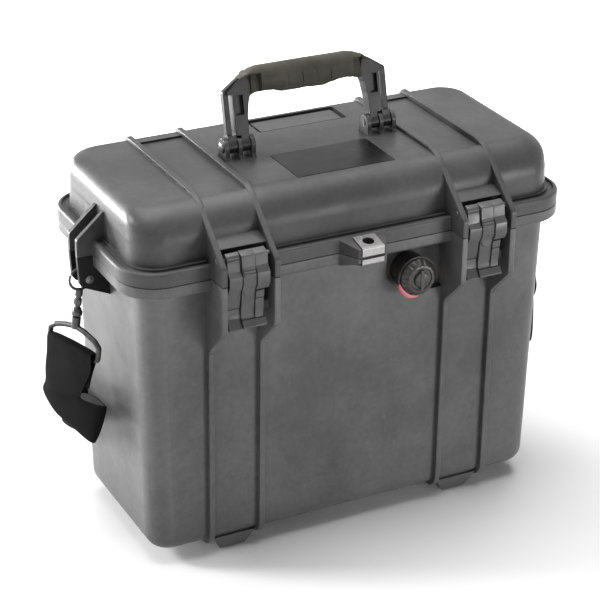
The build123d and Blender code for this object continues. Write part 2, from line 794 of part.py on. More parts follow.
def make_valve_ring():
    body = rod_y(VALVE_RING_R, VALVE_X, VALVE_RING_Y, VALVE_RING_Y + VALVE_RING_THICK, VALVE_Z)
    return body - rod_y(VALVE_HUB_R, VALVE_X, VALVE_RING_Y - 1, VALVE_RING_Y + 9, VALVE_Z)


def make_valve_cap():
    rear = VALVE_RING_Y - 0.4
    place = Pos(VALVE_X, (VALVE_FRONT_Y + rear) / 2, VALVE_Z) * Rot(90, 0, 0)
    cap = place * Cone(VALVE_CAP_R, VALVE_NOSE_R, rear - VALVE_FRONT_Y)
    cap = fillet(cap.edges().filter_by(lambda e: e.center().Y < VALVE_FRONT_Y + 0.1), 1.4)
    for k in range(12):
        notch = rod_y(1.8, VALVE_CAP_R + 0.4, VALVE_FRONT_Y - 1, rear - 1.4, 0)
        cap -= Pos(VALVE_X, 0, VALVE_Z) * Rot(0, 15 + 30 * k, 0) * notch
    cap -= rod_y(VALVE_HUB_R + RUN_CLEAR, VALVE_X, VALVE_RING_Y - 3.0 - RUN_CLEAR, rear + 1, VALVE_Z)
    cap -= Pos(VALVE_X, VALVE_FRONT_Y, VALVE_Z) * Box(15.0, 2.0, 3.0)
    return cap


def make_valve_nut():
    face = Pos(VALVE_X, VALVE_Z) * RegularPolygon(11.0, 6)
    nut = extrude(Plane.XZ.offset(-(BACKING_Y + 5.0)) * face, amount=5.0)
    return nut - rod_y(VALVE_STEM_R, VALVE_X, BACKING_Y - 1, BACKING_Y + 9, VALVE_Z)


def make_valve_membrane():
    return rod_y(5.0, VALVE_X, BACKING_Y + 7.0, BACKING_Y + 7.8, VALVE_Z)


# ---------------------------------------------------------------- handle
def stand(shape):
    """From the handle plane, (x, height) about the pin, to its place on the lid."""
    return Pos(0, HANDLE_Y, HANDLE_Z) * Rot(-HANDLE_LEAN, 0, 0) * shape


def handle_core(clear):
    """Bar of the frame that the grip is moulded round."""
    reach = HANDLE_IN_X - 2.0
    low = GRIP_UNDER + 6 - clear
    return block(-reach, reach, -4.5 - clear, 4.5 + clear, low, HANDLE_TOP - 6 + clear)


def handle_frame_flat():
    """Handle frame in the handle plane."""
    half = HANDLE_THICK / 2
    slot = (LUG_MID_X + LUG_THICK, HANDLE_OUT_X - STRIP_WIDE)
    frame = handle_core(0)
    for side in SIDES.values():
        body = [
            (HANDLE_IN_X + 1.0, 8.0),
            (HANDLE_OUT_X - 3.0, 8.0),
            (HANDLE_OUT_X - 3.0, HANDLE_SHOULDER - 1.0),
            (LEG_KINK_X, LEG_KINK_H, 3.0),
            (POST_X, 54.5),
            (POST_X, GRIP_UNDER + 3),
            (HANDLE_IN_X - 1.8, 34.0, 5.0),
            (HANDLE_IN_X, 24.0),
        ]
        strip = [
            (HANDLE_OUT_X, 8.0),
            (HANDLE_OUT_X, HANDLE_SHOULDER, 2.5),
            (LEG_KINK_X + 0.6, LEG_KINK_H + 0.8, 3.0),
            (POST_X, 56.0),
            (POST_X, 52.5),
            (LEG_KINK_X - 1.0, LEG_KINK_H - 3.0),
            (slot[1], HANDLE_SHOULDER - 3.5),
            (slot[1], 8.0),
        ]
        leg = xz_plate([(side * p[0],) + p[1:] for p in body], -half, half)
        leg -= block(side * slot[0], side * (HANDLE_OUT_X + 1), -half - 1, half + 1, 7.0, 41.0)
        leg += xz_plate([(side * p[0],) + p[1:] for p in strip], -STRIP_THICK / 2, STRIP_THICK / 2)
        for face_y in (-half, half):
            leg -= block(
                side * (HANDLE_IN_X + 3.2),
                side * (LUG_MID_X + 1.8),
                face_y - LEG_RECESS,
                face_y + LEG_RECESS,
                LEG_RECESS_LOW,
                40.0,
            )
        for x0, x1 in TINE_SPANS:
            leg += block(side * x0, side * x1, -TINE_R, TINE_R, 0, 8.6) & block(
                side * x0, side * x1, -half, half, 0, 8.6
            )
            leg += rod_x(TINE_R, side * x0, side * x1, 0, 0)
        leg += block(side * slot[1], side * HANDLE_OUT_X, -half, half, 0, 8.6)
        frame += leg
        ends = (side * (LUG_IN_X - 2), side * (LUG_OUT_X + LUG_THICK + 2))
        frame -= rod_x(HANDLE_PIN_R + RUN_CLEAR, *ends, 0, 0)
    return frame


def make_handle_frame():
    return stand(handle_frame_flat())


def make_handle_grip():
    half = GRIP_THICK / 2
    right = [
        (21.0, GRIP_UNDER - 0.4, 6.0),
        (30.0, GRIP_UNDER + 2.9, 6.0),
        (42.0, GRIP_UNDER + 2.9, 6.0),
        (POST_X, GRIP_UNDER - 0.6),
        (POST_X, 52.0),
        (LEG_KINK_X - 1.6, 52.0),
        (LEG_KINK_X - 3.0, 54.4),
        (49.0, HANDLE_TOP - 1.8, 6.0),
        (42.0, HANDLE_TOP, 6.0),
    ]
    left = [(-p[0],) + p[1:] for p in reversed(right)]
    body = xz_plate(right + left, -half, half)
    around = extrude(
        Plane.YZ.offset(-70) * Pos(0, (GRIP_UNDER + HANDLE_TOP) / 2) * RectangleRounded(
            GRIP_THICK, HANDLE_TOP - GRIP_UNDER + 3.2, 9.0
        ),
        amount=140,
    )
    body = body & around
    for side in SIDES.values():
        for face in (-1, 1):
            body -= block(side * 42.5, side * 70, face * 6.0, face * 20, 30, HANDLE_TOP - 5.5)
    return stand(body - handle_frame_flat())


def make_handle_pin(side):
    outer = LUG_OUT_X + LUG_THICK
    pin = rod_x(HANDLE_PIN_R, side * (LUG_IN_X - 0.6), side * outer, HANDLE_Y, HANDLE_Z)
    head = rod_x(HANDLE_PIN_R + 1.6, side * outer, side * (outer + 1.4), HANDLE_Y, HANDLE_Z)
    return pin + head


def make_label_plate():
    face = Pos(LABEL_X, LABEL_Y) * RectangleRounded(LABEL_LONG, LABEL_WIDE, 1.2)
    return extrude(Plane.XY.offset(LID_TOP_Z - 0.6) * face, amount=0.8)


# ---------------------------------------------------------------- strap fittings
def make_strap_pin(side):
    y0 = FIN_Y - FIN_PITCH - FIN_THICK / 2
    y1 = FIN_Y + FIN_PITCH + FIN_THICK / 2
    pin = rod_y(STRAP_PIN_R, side * STRAP_PIN_X, y0 - 0.1, y1 + 0.1, STRAP_PIN_Z)
    pin += rod_y(3.4, side * STRAP_PIN_X, y0 - 1.3, y0, STRAP_PIN_Z)
    return pin + rod_y(3.4, side * STRAP_PIN_X, y1, y1 + 1.3, STRAP_PIN_Z)


def hang(shape):
    """From the fitting's own frame (ring centre at the origin) to the left strap pin."""
    place = Pos(-STRAP_PIN_X - HOOK_DIP, FITTING_Y, STRAP_PIN_Z - HOOK_DROP)
    return place * Rot(0, FITTING_TILT, 0) * shape


def hook_sector(a0, a1):
    """Wedge of the hook ring between two angles in the (x, z) plane."""
    sector = Polygon(
        (0, 0),
        *[(20 * x, 20 * z) for x, z in (unit(a0 + (a1 - a0) * k / 4) for k in range(5))],
        align=None,
    )
    return extrude(Plane.XZ.offset(-5) * sector, amount=10, dir=(0, -1, 0))


def unit(degrees):
    """Unit vector at an angle from +X."""
    v = Vector(1, 0, 0).rotate(Axis.Z, degrees)
    return v.X, v.Y


def make_snap_hook():
    wire = Rot(90, 0, 0) * Torus(HOOK_RING_R, HOOK_WIRE_R)
    x, z = unit(GATE_PIVOT)
    hook = wire - hook_sector(GATE_FROM, GATE_TO)
    hook -= rod_y(KNUCKLE_R + 0.35, x * HOOK_RING_R, -3, 3, z * HOOK_RING_R)
    shank = rod_z(SHANK_R, 0, 0, -SHANK_LONG + 12, -HOOK_RING_R - 0.6)
    collar = rod_z(SHANK_R + 1.4, 0, 0, -SHANK_LONG + 9, -SHANK_LONG + 13)
    hook += shank + fillet(collar.edges(), 0.8)
    hook -= rod_z(1.6 + RUN_CLEAR, 0, 0, -SHANK_LONG, -SHANK_LONG + 18)
    return hang(hook)


def make_hook_gate():
    wire = Rot(90, 0, 0) * Torus(HOOK_RING_R, HOOK_WIRE_R * 0.85)
    gate = wire & hook_sector(GATE_TIP, GATE_PIVOT)
    x, z = unit(GATE_PIVOT)
    knuckle = rod_y(KNUCKLE_R, x * HOOK_RING_R, -HOOK_WIRE_R, HOOK_WIRE_R, z * HOOK_RING_R)
    return hang(gate + knuckle)


def in_loop(shape):
    """From the strap loop's own frame to the fitting's frame."""
    return Pos(0, 0, -SHANK_LONG) * Rot(0, 0, LOOP_TURN) * shape


def make_strap_loop():
    half = LOOP_WIDE / 2
    with BuildLine() as path:
        FilletPolyline(
            (0, 0, 0),
            (0, 12.0, -2.5),
            (0, half - 5.5, -6.0),
            (0, half, -10.0),
            (0, half, -LOOP_TALL),
            (0, -half, -LOOP_TALL),
            (0, -half, -9.0),
            (0, -half + 5.5, -5.0),
            (0, -10.0, -1.5),
            (0, 0, 0),
            radius=3.0,
        )
    start = Plane(origin=(0, 0, 0), z_dir=path.line % 0)
    loop = sweep(start * Circle(LOOP_WIRE_R), path=path.line)
    loop += Sphere(LOOP_WIRE_R + 0.3)
    loop += rod_z(SHANK_R + 0.6, 0, 0, -1.5, 8.4)
    loop += rod_z(1.6, 0, 0, 8.0, 17.6)
    return hang(in_loop(loop))


def make_strap_end():
    """Sewn end of the webbing round the bar of the loop."""
    inner = LOOP_WIRE_R + 0.3
    outer = inner + WEB_THICK
    half = WEB_WIDE / 2
    body = rod_y(outer, 0, -half, half, -LOOP_TALL)
    body += block(-WEB_THICK, WEB_THICK, -half, half, -LOOP_TALL - 30, -LOOP_TALL - 3)
    body -= rod_y(inner, 0, -half - 1, half + 1, -LOOP_TALL)
    return hang(in_loop(body))


def make_strap_web():
    """Webbing from one sewn end, folded forward, then round behind the case to the other."""
    t = WEB_THICK
    plan = FilletPolyline(
        (-230.8, 25.0),
        (-208.4, -27.0),
        (-203.0, -33.0),
        (-197.7, -27.0),
        (-197.7, 60.0),
        (-186.0, WEB_REAR_Y - t / 2),
        (0.0, WEB_REAR_Y - t / 2),
        radius=3.0,
    )
    ribbon = extrude(trace(plan, t), amount=160, dir=(0, 0, 1))
    outer_band = yz_plate(
        [
            (30, STRAP_FOLD_Z),
            (30, 130.0),
            (14.4, 116.3),
            (-3.9, 109.7),
            (-21.2, 102.3),
            (-36, 101.5),
            (-36, 134.5),
            (-27, 136.0),
            (-25, STRAP_FOLD_Z),
        ],
        -260,
        -203,
    )
    inner_band = yz_plate(
        [
            (-36, 133.5),
            (-25, 133.0),
            (10, 126.6),
            (30, 118.0, 30.0),
            (60, 109.0, 60.0),
            (118, 104.0),
            (118, 56.0),
            (60, 68.0),
            (30, 82.0, 30.0),
            (0, 97.0),
            (-25, 103.0),
            (-36, 100.5),
        ],
        -203,
        -186,
    )
    rear_band = xz_plate(
        [
            (-220, 105.0),
            (-186, 104.0),
            (-100, 85.0, 200.0),
            (0, 78.0),
            (0, 28.0),
            (-100, 36.0, 200.0),
            (-186, 56.0),
            (-220, 57.0),
        ],
        60,
        130,
    )
    half = (ribbon & outer_band) + (ribbon & inner_band)
    half += ribbon & rear_band & block(-186, 0, 60, 130, 0, 200)
    return half + mirrored(half)


def build_all():
    nodes = {
        "base_shell": make_base_shell(),
        "base_rim": make_base_rim(),
        "base_feet": make_base_feet(),
        "lid_shell": make_lid_shell(),
        "gasket": make_gasket(),
        "base_foam": make_base_foam(),
        "lid_foam": make_lid_foam(),
        "padlock_plate_upper": make_padlock_plate(True),
        "padlock_plate_lower": make_padlock_plate(False),
        "valve_body": make_valve_body(),
        "valve_ring": make_valve_ring(),
        "valve_cap": make_valve_cap(),
        "valve_nut": make_valve_nut(),
        "valve_membrane": make_valve_membrane(),
        "handle_frame": make_handle_frame(),
        "handle_grip": make_handle_grip(),
        "label_plate": make_label_plate(),
        "snap_hook_left": make_snap_hook(),
        "hook_gate_left": make_hook_gate(),
        "strap_loop_left": make_strap_loop(),
        "strap_end_left": make_strap_end(),
        "strap_web": make_strap_web(),
    }
    for piece in ("snap_hook", "hook_gate", "strap_loop", "strap_end"):
        nodes[piece + "_right"] = mirrored(nodes[piece + "_left"])
    for name, side in SIDES.items():
        nodes["base_ribs_" + name] = make_base_ribs(side)
        nodes["base_fins_" + name] = make_base_fins(side)
        nodes["latch_strike_" + name] = make_latch_strike(side)
        nodes["hinge_pin_" + name] = make_hinge_pin(side)
        nodes["latch_link_" + name] = make_latch_link(side)
        nodes["latch_lever_" + name] = make_latch_lever(side)
        nodes["latch_pin_" + name] = make_latch_pin(side)
        nodes["handle_pin_" + name] = make_handle_pin(side)
        nodes["strap_pin_" + name] = make_strap_pin(side)
    return nodes


os.makedirs("parts", exist_ok=True)
for node, shape in build_all().items():
    export_step(shape, f"parts/{node}.step")
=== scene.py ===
"""Looks of the laptop hard case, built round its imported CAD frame.

Every visible piece gets a procedural finish. Pieces that need more form than the CAD solids
have are modelled here and ride on the same bodies. Shapes are written in millimetres, in the
frame's own axes: +Z up, front towards -Y.
"""

import logging
import math
from dataclasses import dataclass
from enum import Enum
from typing import Callable, Optional, Sequence

import bpy
from mathutils import Matrix, Vector


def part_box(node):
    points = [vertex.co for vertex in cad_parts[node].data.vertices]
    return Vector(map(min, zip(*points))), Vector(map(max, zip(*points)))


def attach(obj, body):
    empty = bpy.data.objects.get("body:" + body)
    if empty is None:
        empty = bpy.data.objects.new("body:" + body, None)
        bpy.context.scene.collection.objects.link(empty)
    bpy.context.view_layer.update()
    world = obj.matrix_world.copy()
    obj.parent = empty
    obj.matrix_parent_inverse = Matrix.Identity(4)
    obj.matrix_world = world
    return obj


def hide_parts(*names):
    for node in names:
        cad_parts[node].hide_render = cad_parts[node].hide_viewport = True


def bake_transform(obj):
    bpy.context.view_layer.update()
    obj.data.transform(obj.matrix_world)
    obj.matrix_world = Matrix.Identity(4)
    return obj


logging.basicConfig(level=logging.INFO, format="%(levelname)s %(name)s: %(message)s")
LOG = logging.getLogger("case")

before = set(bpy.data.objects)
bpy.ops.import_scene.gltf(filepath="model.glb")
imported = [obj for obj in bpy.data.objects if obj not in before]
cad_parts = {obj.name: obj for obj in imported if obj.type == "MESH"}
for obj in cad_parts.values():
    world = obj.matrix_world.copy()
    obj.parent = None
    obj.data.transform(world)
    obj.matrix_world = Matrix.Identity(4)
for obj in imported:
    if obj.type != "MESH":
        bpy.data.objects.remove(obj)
MM = 0.001
SIDES = {"left": -1, "right": 1}

Point2 = tuple[float, float]
Point3 = tuple[float, float, float]
Socket = bpy.types.NodeSocket


# --------------------------------------------------------------------------- finishes
class Look(Enum):
    """Families of surface, each with its own node recipe."""

    MOULDED = "moulded"
    SMOOTH = "smooth"
    METAL = "metal"
    FOAM = "foam"
    WEAVE = "weave"


@dataclass(frozen=True)
class Finish:
    """A surface finish.

    Attributes:
        name: Name of the material.
        slot: Name of a slot for pieces with this finish; not used.
        look: Family of the surface.
        colour: Linear base colour.
        rough: Base roughness.
        metallic: Metallic share.
        grain: Height of the fine bump, in millimetres.
        grain_size: Size of the fine bump, in millimetres.
        mottle: Strength of the large tone variation.
        mottle_size: Size of the large tone variation, in millimetres.
        wear: Strength of the pale rubbed edges.
        edge: Radius of the rounded-edge shading, in millimetres.
        gloss: Specular level.
    """

    name: str
    slot: str
    look: Look
    colour: Point3
    rough: float
    metallic: float = 0.0
    grain: float = 0.0
    grain_size: float = 1.0
    mottle: float = 0.0
    mottle_size: float = 110.0
    wear: float = 0.0
    edge: float = 0.0
    gloss: float = 0.5


SHELL = Finish(
    "shell_plastic", "shell", Look.MOULDED, (0.084, 0.084, 0.084), 0.38,
    grain=0.05, grain_size=0.8, mottle=0.55, wear=0.5, edge=1.2, gloss=0.3,
)
# Painted shade: the lid uses a darker copy of the shell plastic, so it renders darker than the base as if it
# got less light.
SHADED_LID = Finish(
    "lid_plastic_painted_shade", "shell", Look.MOULDED, (0.055, 0.055, 0.055), 0.4,
    grain=0.05, grain_size=0.8, mottle=0.5, wear=0.5, edge=1.2, gloss=0.25,
)
# Painted shade: a near-black copy of the shell plastic for the base fins, which stand in shade.
SHADED_FIN = Finish(
    "fin_plastic_painted_shade", "shell", Look.MOULDED, (0.012, 0.012, 0.012), 0.45,
    grain=0.05, grain_size=0.8, mottle=0.4, wear=0.5, edge=0.8, gloss=0.1,
)
LATCH = Finish(
    "latch_plastic", "latch", Look.SMOOTH, (0.06, 0.06, 0.06), 0.36,
    grain=0.01, grain_size=0.7, mottle=0.25, mottle_size=18.0, wear=0.45, edge=0.5, gloss=0.35,
)
VALVE = Finish(
    "valve_plastic", "valve", Look.SMOOTH, (0.028, 0.026, 0.024), 0.3,
    grain=0.01, mottle=0.2, mottle_size=9.0, wear=0.4, edge=0.5, gloss=0.35,
)
HANDLE = Finish(
    "handle_plastic", "handle", Look.SMOOTH, (0.018, 0.0175, 0.017), 0.38,
    grain=0.01, mottle=0.25, mottle_size=22.0, wear=0.4, edge=0.7, gloss=0.25,
)
GRIP = Finish(
    "grip_rubber", "grip", Look.SMOOTH, (0.066, 0.062, 0.052), 0.8,
    grain=0.03, grain_size=0.5, mottle=0.35, mottle_size=26.0, wear=0.15, gloss=0.1,
)
SEAL = Finish("seal_rubber", "seal", Look.SMOOTH, (0.02, 0.02, 0.02), 0.6, grain=0.02, mottle=0.2)
RED = Finish(
    "valve_seal", "valve_seal", Look.SMOOTH, (0.5, 0.12, 0.14), 0.4,
    grain=0.01, mottle=0.3, mottle_size=6.0,
)
STEEL = Finish(
    "stainless", "steel", Look.METAL, (0.2, 0.198, 0.195), 0.34,
    metallic=1.0, grain=0.006, mottle=0.25, mottle_size=8.0, edge=0.3,
)
PIN = Finish(
    "dull_pin", "steel", Look.METAL, (0.13, 0.13, 0.13), 0.35,
    metallic=0.9, grain=0.006, mottle=0.3, mottle_size=4.0, edge=0.3,
)
DARK_STEEL = Finish(
    "plated_steel", "hook", Look.METAL, (0.05, 0.049, 0.048), 0.34,
    metallic=0.85, grain=0.02, mottle=0.5, mottle_size=5.0, wear=0.6, edge=0.2,
)
FOAM = Finish(
    "foam", "foam", Look.FOAM, (0.032, 0.032, 0.034), 0.95,
    grain=0.35, grain_size=1.4, mottle=0.3, gloss=0.04,
)
WEB = Finish(
    "webbing", "web", Look.WEAVE, (0.0045, 0.0045, 0.0047), 0.7,
    grain=0.35, mottle=0.25, mottle_size=60.0, gloss=0.04,
)
FILM = Finish(
    "label_film", "label", Look.SMOOTH, (0.005, 0.005, 0.005), 0.32,
    grain=0.006, grain_size=2.5, mottle=0.2, gloss=0.2,
)
MEMBRANE = Finish("membrane", "membrane", Look.SMOOTH, (0.7, 0.7, 0.68), 0.8, grain=0.01, mottle=0.1)


class Nodes:
    """Short hand for building one node tree."""

    def __init__(self, owner: bpy.types.Material | bpy.types.World) -> None:
        """Opens the node tree of a material or a world.

        Args:
            owner: The material or world.
        """
        owner.use_nodes = True
        self.tree = owner.node_tree
        self.shader = self.tree.nodes.get("Principled BSDF")
        self.coords = self.tree.nodes.new("ShaderNodeTexCoord")

    def make(self, kind: str, **values: object) -> bpy.types.Node:
        """Adds a node and sets its inputs.

        Args:
            kind: Its type, without the leading ShaderNode.
            values: Values by input name, with _ for a space.

        Returns:
            The node.
        """
        node = self.tree.nodes.new("ShaderNode" + kind)
        self.put(node, **values)
        return node

    @staticmethod
    def put(node: bpy.types.Node, **values: object) -> None:
        """Sets inputs of a node by name, with _ for a space."""
        for name, value in values.items():
            node.inputs[name.replace("_", " ")].default_value = value

    def link(self, source: Socket, target: Socket) -> None:
        """Joins two sockets."""
        self.tree.links.new(source, target)

    def noise(self, size: float, detail: float, rough: float = 0.5) -> Socket:
        """Noise in object space.

        Args:
            size: Size of its features, in millimetres.
            detail: Number of octaves.
            rough: Weight of the finer octaves.

        Returns:
            The value socket.
        """
        node = self.make("TexNoise", Scale=1.0 / (size * MM), Detail=detail, Roughness=rough)
        self.link(self.coords.outputs["Object"], node.inputs["Vector"])
        return node.outputs["Fac"]

    def remap(self, value: Socket, source: Point2, target: Point2) -> Socket:
        """Maps one range to another, held at its ends.

        Args:
            value: The value to map.
            source: Its range.
            target: The range it goes to.

        Returns:
            The mapped value.
        """
        node = self.make("MapRange", From_Min=source[0], From_Max=source[1])
        self.put(node, To_Min=target[0], To_Max=target[1])
        node.interpolation_type = "SMOOTHSTEP"
        self.link(value, node.inputs["Value"])
        return node.outputs["Result"]

    def math(self, operation: str, a: Socket, b: Socket | float) -> Socket:
        """One math node.

        Args:
            operation: Its operation.
            a: First value.
            b: Second value, a socket or a number.

        Returns:
            The result.
        """
        node = self.make("Math")
        node.operation = operation
        self.link(a, node.inputs[0])
        if isinstance(b, float):
            node.inputs[1].default_value = b
        else:
            self.link(b, node.inputs[1])
        return node.outputs["Value"]

    def background_rays(self) -> Socket:
        """1 for the rays that show the background: camera, glossy and transmission rays."""
        path = self.make("LightPath")
        seen = self.math("MAXIMUM", path.outputs["Is Camera Ray"], path.outputs["Is Glossy Ray"])
        return self.math("MAXIMUM", seen, path.outputs["Is Transmission Ray"])

    def bump(
        self, height: Socket, distance: float, normal: Optional[Socket]
    ) -> Socket:
        """Adds a bump on top of a normal.

        Args:
            height: Height from 0 to 1.
            distance: Height of 1, in millimetres.
            normal: The normal below, if there is one.

        Returns:
            The new normal.
        """
        node = self.make("Bump", Strength=1.0, Distance=distance * MM)
        self.link(height, node.inputs["Height"])
        if normal is not None:
            self.link(normal, node.inputs["Normal"])
        return node.outputs["Normal"]


class FinishBook:
    """Builds each finish once and hands out its material."""

    def __init__(self) -> None:
        """Starts with no material made."""
        self._made: dict[str, bpy.types.Material] = {}

    def get(self, finish: Finish) -> bpy.types.Material:
        """Returns the material of a finish, building it at first use.

        Args:
            finish: The finish wanted.

        Returns:
            The material.
        """
        if finish.name not in self._made:
            self._made[finish.name] = self._build(finish)
        return self._made[finish.name]

    def _build(self, finish: Finish) -> bpy.types.Material:
        """Builds the node tree of a finish.

        Args:
            finish: The finish.

        Returns:
            The new material.
        """
        material = bpy.data.materials.new(finish.name)
        nodes = Nodes(material)
        shader = nodes.shader
        nodes.put(shader, Base_Color=(*finish.colour, 1.0), Metallic=finish.metallic)
        nodes.put(shader, Roughness=finish.rough, Specular_IOR_Level=finish.gloss)
        if finish.look in (Look.FOAM, Look.WEAVE):
            nodes.put(shader, Sheen_Weight=0.01, Sheen_Roughness=0.5)
        normal = None
        if finish.edge:
            bevel = nodes.make("Bevel", Radius=finish.edge * MM)
            bevel.samples = 4
            normal = bevel.outputs["Normal"]
        self._tone(nodes, finish)
        if finish.look is Look.WEAVE:
            normal = self._weave(nodes, finish, normal)
        elif finish.grain:
            fine = nodes.noise(finish.grain_size, 2.0)
            normal = nodes.bump(fine, finish.grain, normal)
        if normal is not None:
            nodes.link(normal, shader.inputs["Normal"])
        return material

    def _tone(self, nodes: Nodes, finish: Finish) -> None:
        """Varies colour and roughness over the surface.

        Args:
            nodes: The tree.
            finish: The finish.
        """
        if not finish.mottle:
            return
        half = finish.mottle / 2
        tone = nodes.remap(nodes.noise(finish.mottle_size, 5.0, 0.62), (0.3, 0.7), (1 - half, 1 + half))
        fine = nodes.remap(nodes.noise(finish.mottle_size / 22, 3.0, 0.6), (0.3, 0.7), (0.92, 1.08))
        tone = nodes.math("MULTIPLY", tone, fine)
        if finish.look is Look.MOULDED:
            scuffs = self._scuffs(nodes)
            tone = nodes.math("ADD", tone, scuffs)
        if finish.wear:
            geometry = nodes.make("NewGeometry")
            rubbed = nodes.remap(geometry.outputs["Pointiness"], (0.52, 0.62), (0.0, finish.wear))
            tone = nodes.math("ADD", tone, rubbed)
        scale = nodes.make("VectorMath")
        scale.operation = "SCALE"
        scale.inputs[0].default_value = finish.colour
        nodes.link(tone, scale.inputs["Scale"])
        nodes.link(scale.outputs["Vector"], nodes.shader.inputs["Base Color"])
        patch = nodes.noise(finish.mottle_size / 2.5, 4.0, 0.6)
        rough = nodes.remap(patch, (0.3, 0.7), (finish.rough - 0.06, finish.rough + 0.08))
        nodes.link(rough, nodes.shader.inputs["Roughness"])

    def _scuffs(self, nodes: Nodes) -> Socket:
        """Faint rubbed specks and streaks of moulded plastic.

        Args:
            nodes: The tree.

        Returns:
            How much lighter the surface is.
        """
        stretch = nodes.make("Mapping", Scale=(1.0, 1.0, 0.35), Rotation=(0.3, 0.5, 0.2))
        nodes.link(nodes.coords.outputs["Object"], stretch.inputs["Vector"])
        streak = nodes.make("TexNoise", Scale=260.0, Detail=4.0, Roughness=0.7)
        nodes.link(stretch.outputs["Vector"], streak.inputs["Vector"])
        marks = nodes.remap(streak.outputs["Fac"], (0.6, 0.78), (0.0, 0.55))
        where = nodes.remap(nodes.noise(70.0, 2.0), (0.45, 0.65), (0.1, 1.0))
        return nodes.math("MULTIPLY", marks, where)

    def _weave(
        self, nodes: Nodes, finish: Finish, normal: Optional[Socket]
    ) -> Socket:
        """Ribbed weave that follows the UV map, u across and v along, in millimetres.

        Args:
            nodes: The tree.
            finish: The finish.
            normal: The normal below.

        Returns:
            The new normal.
        """
        split = nodes.make("SeparateXYZ")
        nodes.link(nodes.coords.outputs["UV"], split.inputs["Vector"])
        across = nodes.math("SINE", nodes.math("MULTIPLY", split.outputs["X"], 3.6), 0.0)
        along = nodes.math("SINE", nodes.math("MULTIPLY", split.outputs["Y"], 5.2), 0.0)
        both = nodes.math("MULTIPLY", across, along)
        height = nodes.math("MULTIPLY", nodes.math("ADD", both, 1.0), 0.5)
        return nodes.bump(height, finish.grain, normal)


NODE_FINISH: dict[str, Finish] = {
    "base_shell": SHELL,
    "base_rim": SHELL,
    "base_ribs": SHELL,
    "base_fins": SHADED_FIN,
    "base_feet": SHELL,
    "latch_strike": SHELL,
    "lid_shell": SHADED_LID,
    "gasket": SEAL,
    "base_foam": FOAM,
    "lid_foam": FOAM,
    "padlock_plate": STEEL,
    "hinge_pin": PIN,
    "latch_pin": PIN,
    "latch_link": LATCH,
    "latch_lever": LATCH,
    "valve_ring": RED,
    "valve_membrane": MEMBRANE,
    "valve": VALVE,
    "handle_frame": HANDLE,
    "handle_grip": GRIP,
    "handle_pin": PIN,
    "label_plate": FILM,
    "strap_pin": PIN,
    "snap_hook": DARK_STEEL,
    "hook_gate": DARK_STEEL,
    "strap_loop": DARK_STEEL,
    "strap": WEB,
}


def finish_of(node: str) -> Finish:
    """Finds the finish of a CAD node by the longest matching start of its name.

    Args:
        node: Name of the CAD node.

    Returns:
        Its finish.
    """
    starts = [start for start in NODE_FINISH if node.startswith(start)]
    return NODE_FINISH[max(starts, key=len)]


class Frame:
    """The CAD nodes that stay visible."""

    def __init__(self, book: FinishBook) -> None:
        """Keeps the book of finishes."""
        self.book = book

    def dress(self) -> None:
        """Gives every CAD node its finish."""
        for name, obj in sorted(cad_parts.items()):
            finish = finish_of(name)
            obj.data.materials.clear()
            obj.data.materials.append(self.book.get(finish))
            LOG.info("CAD node %s: %s", name, finish.name)


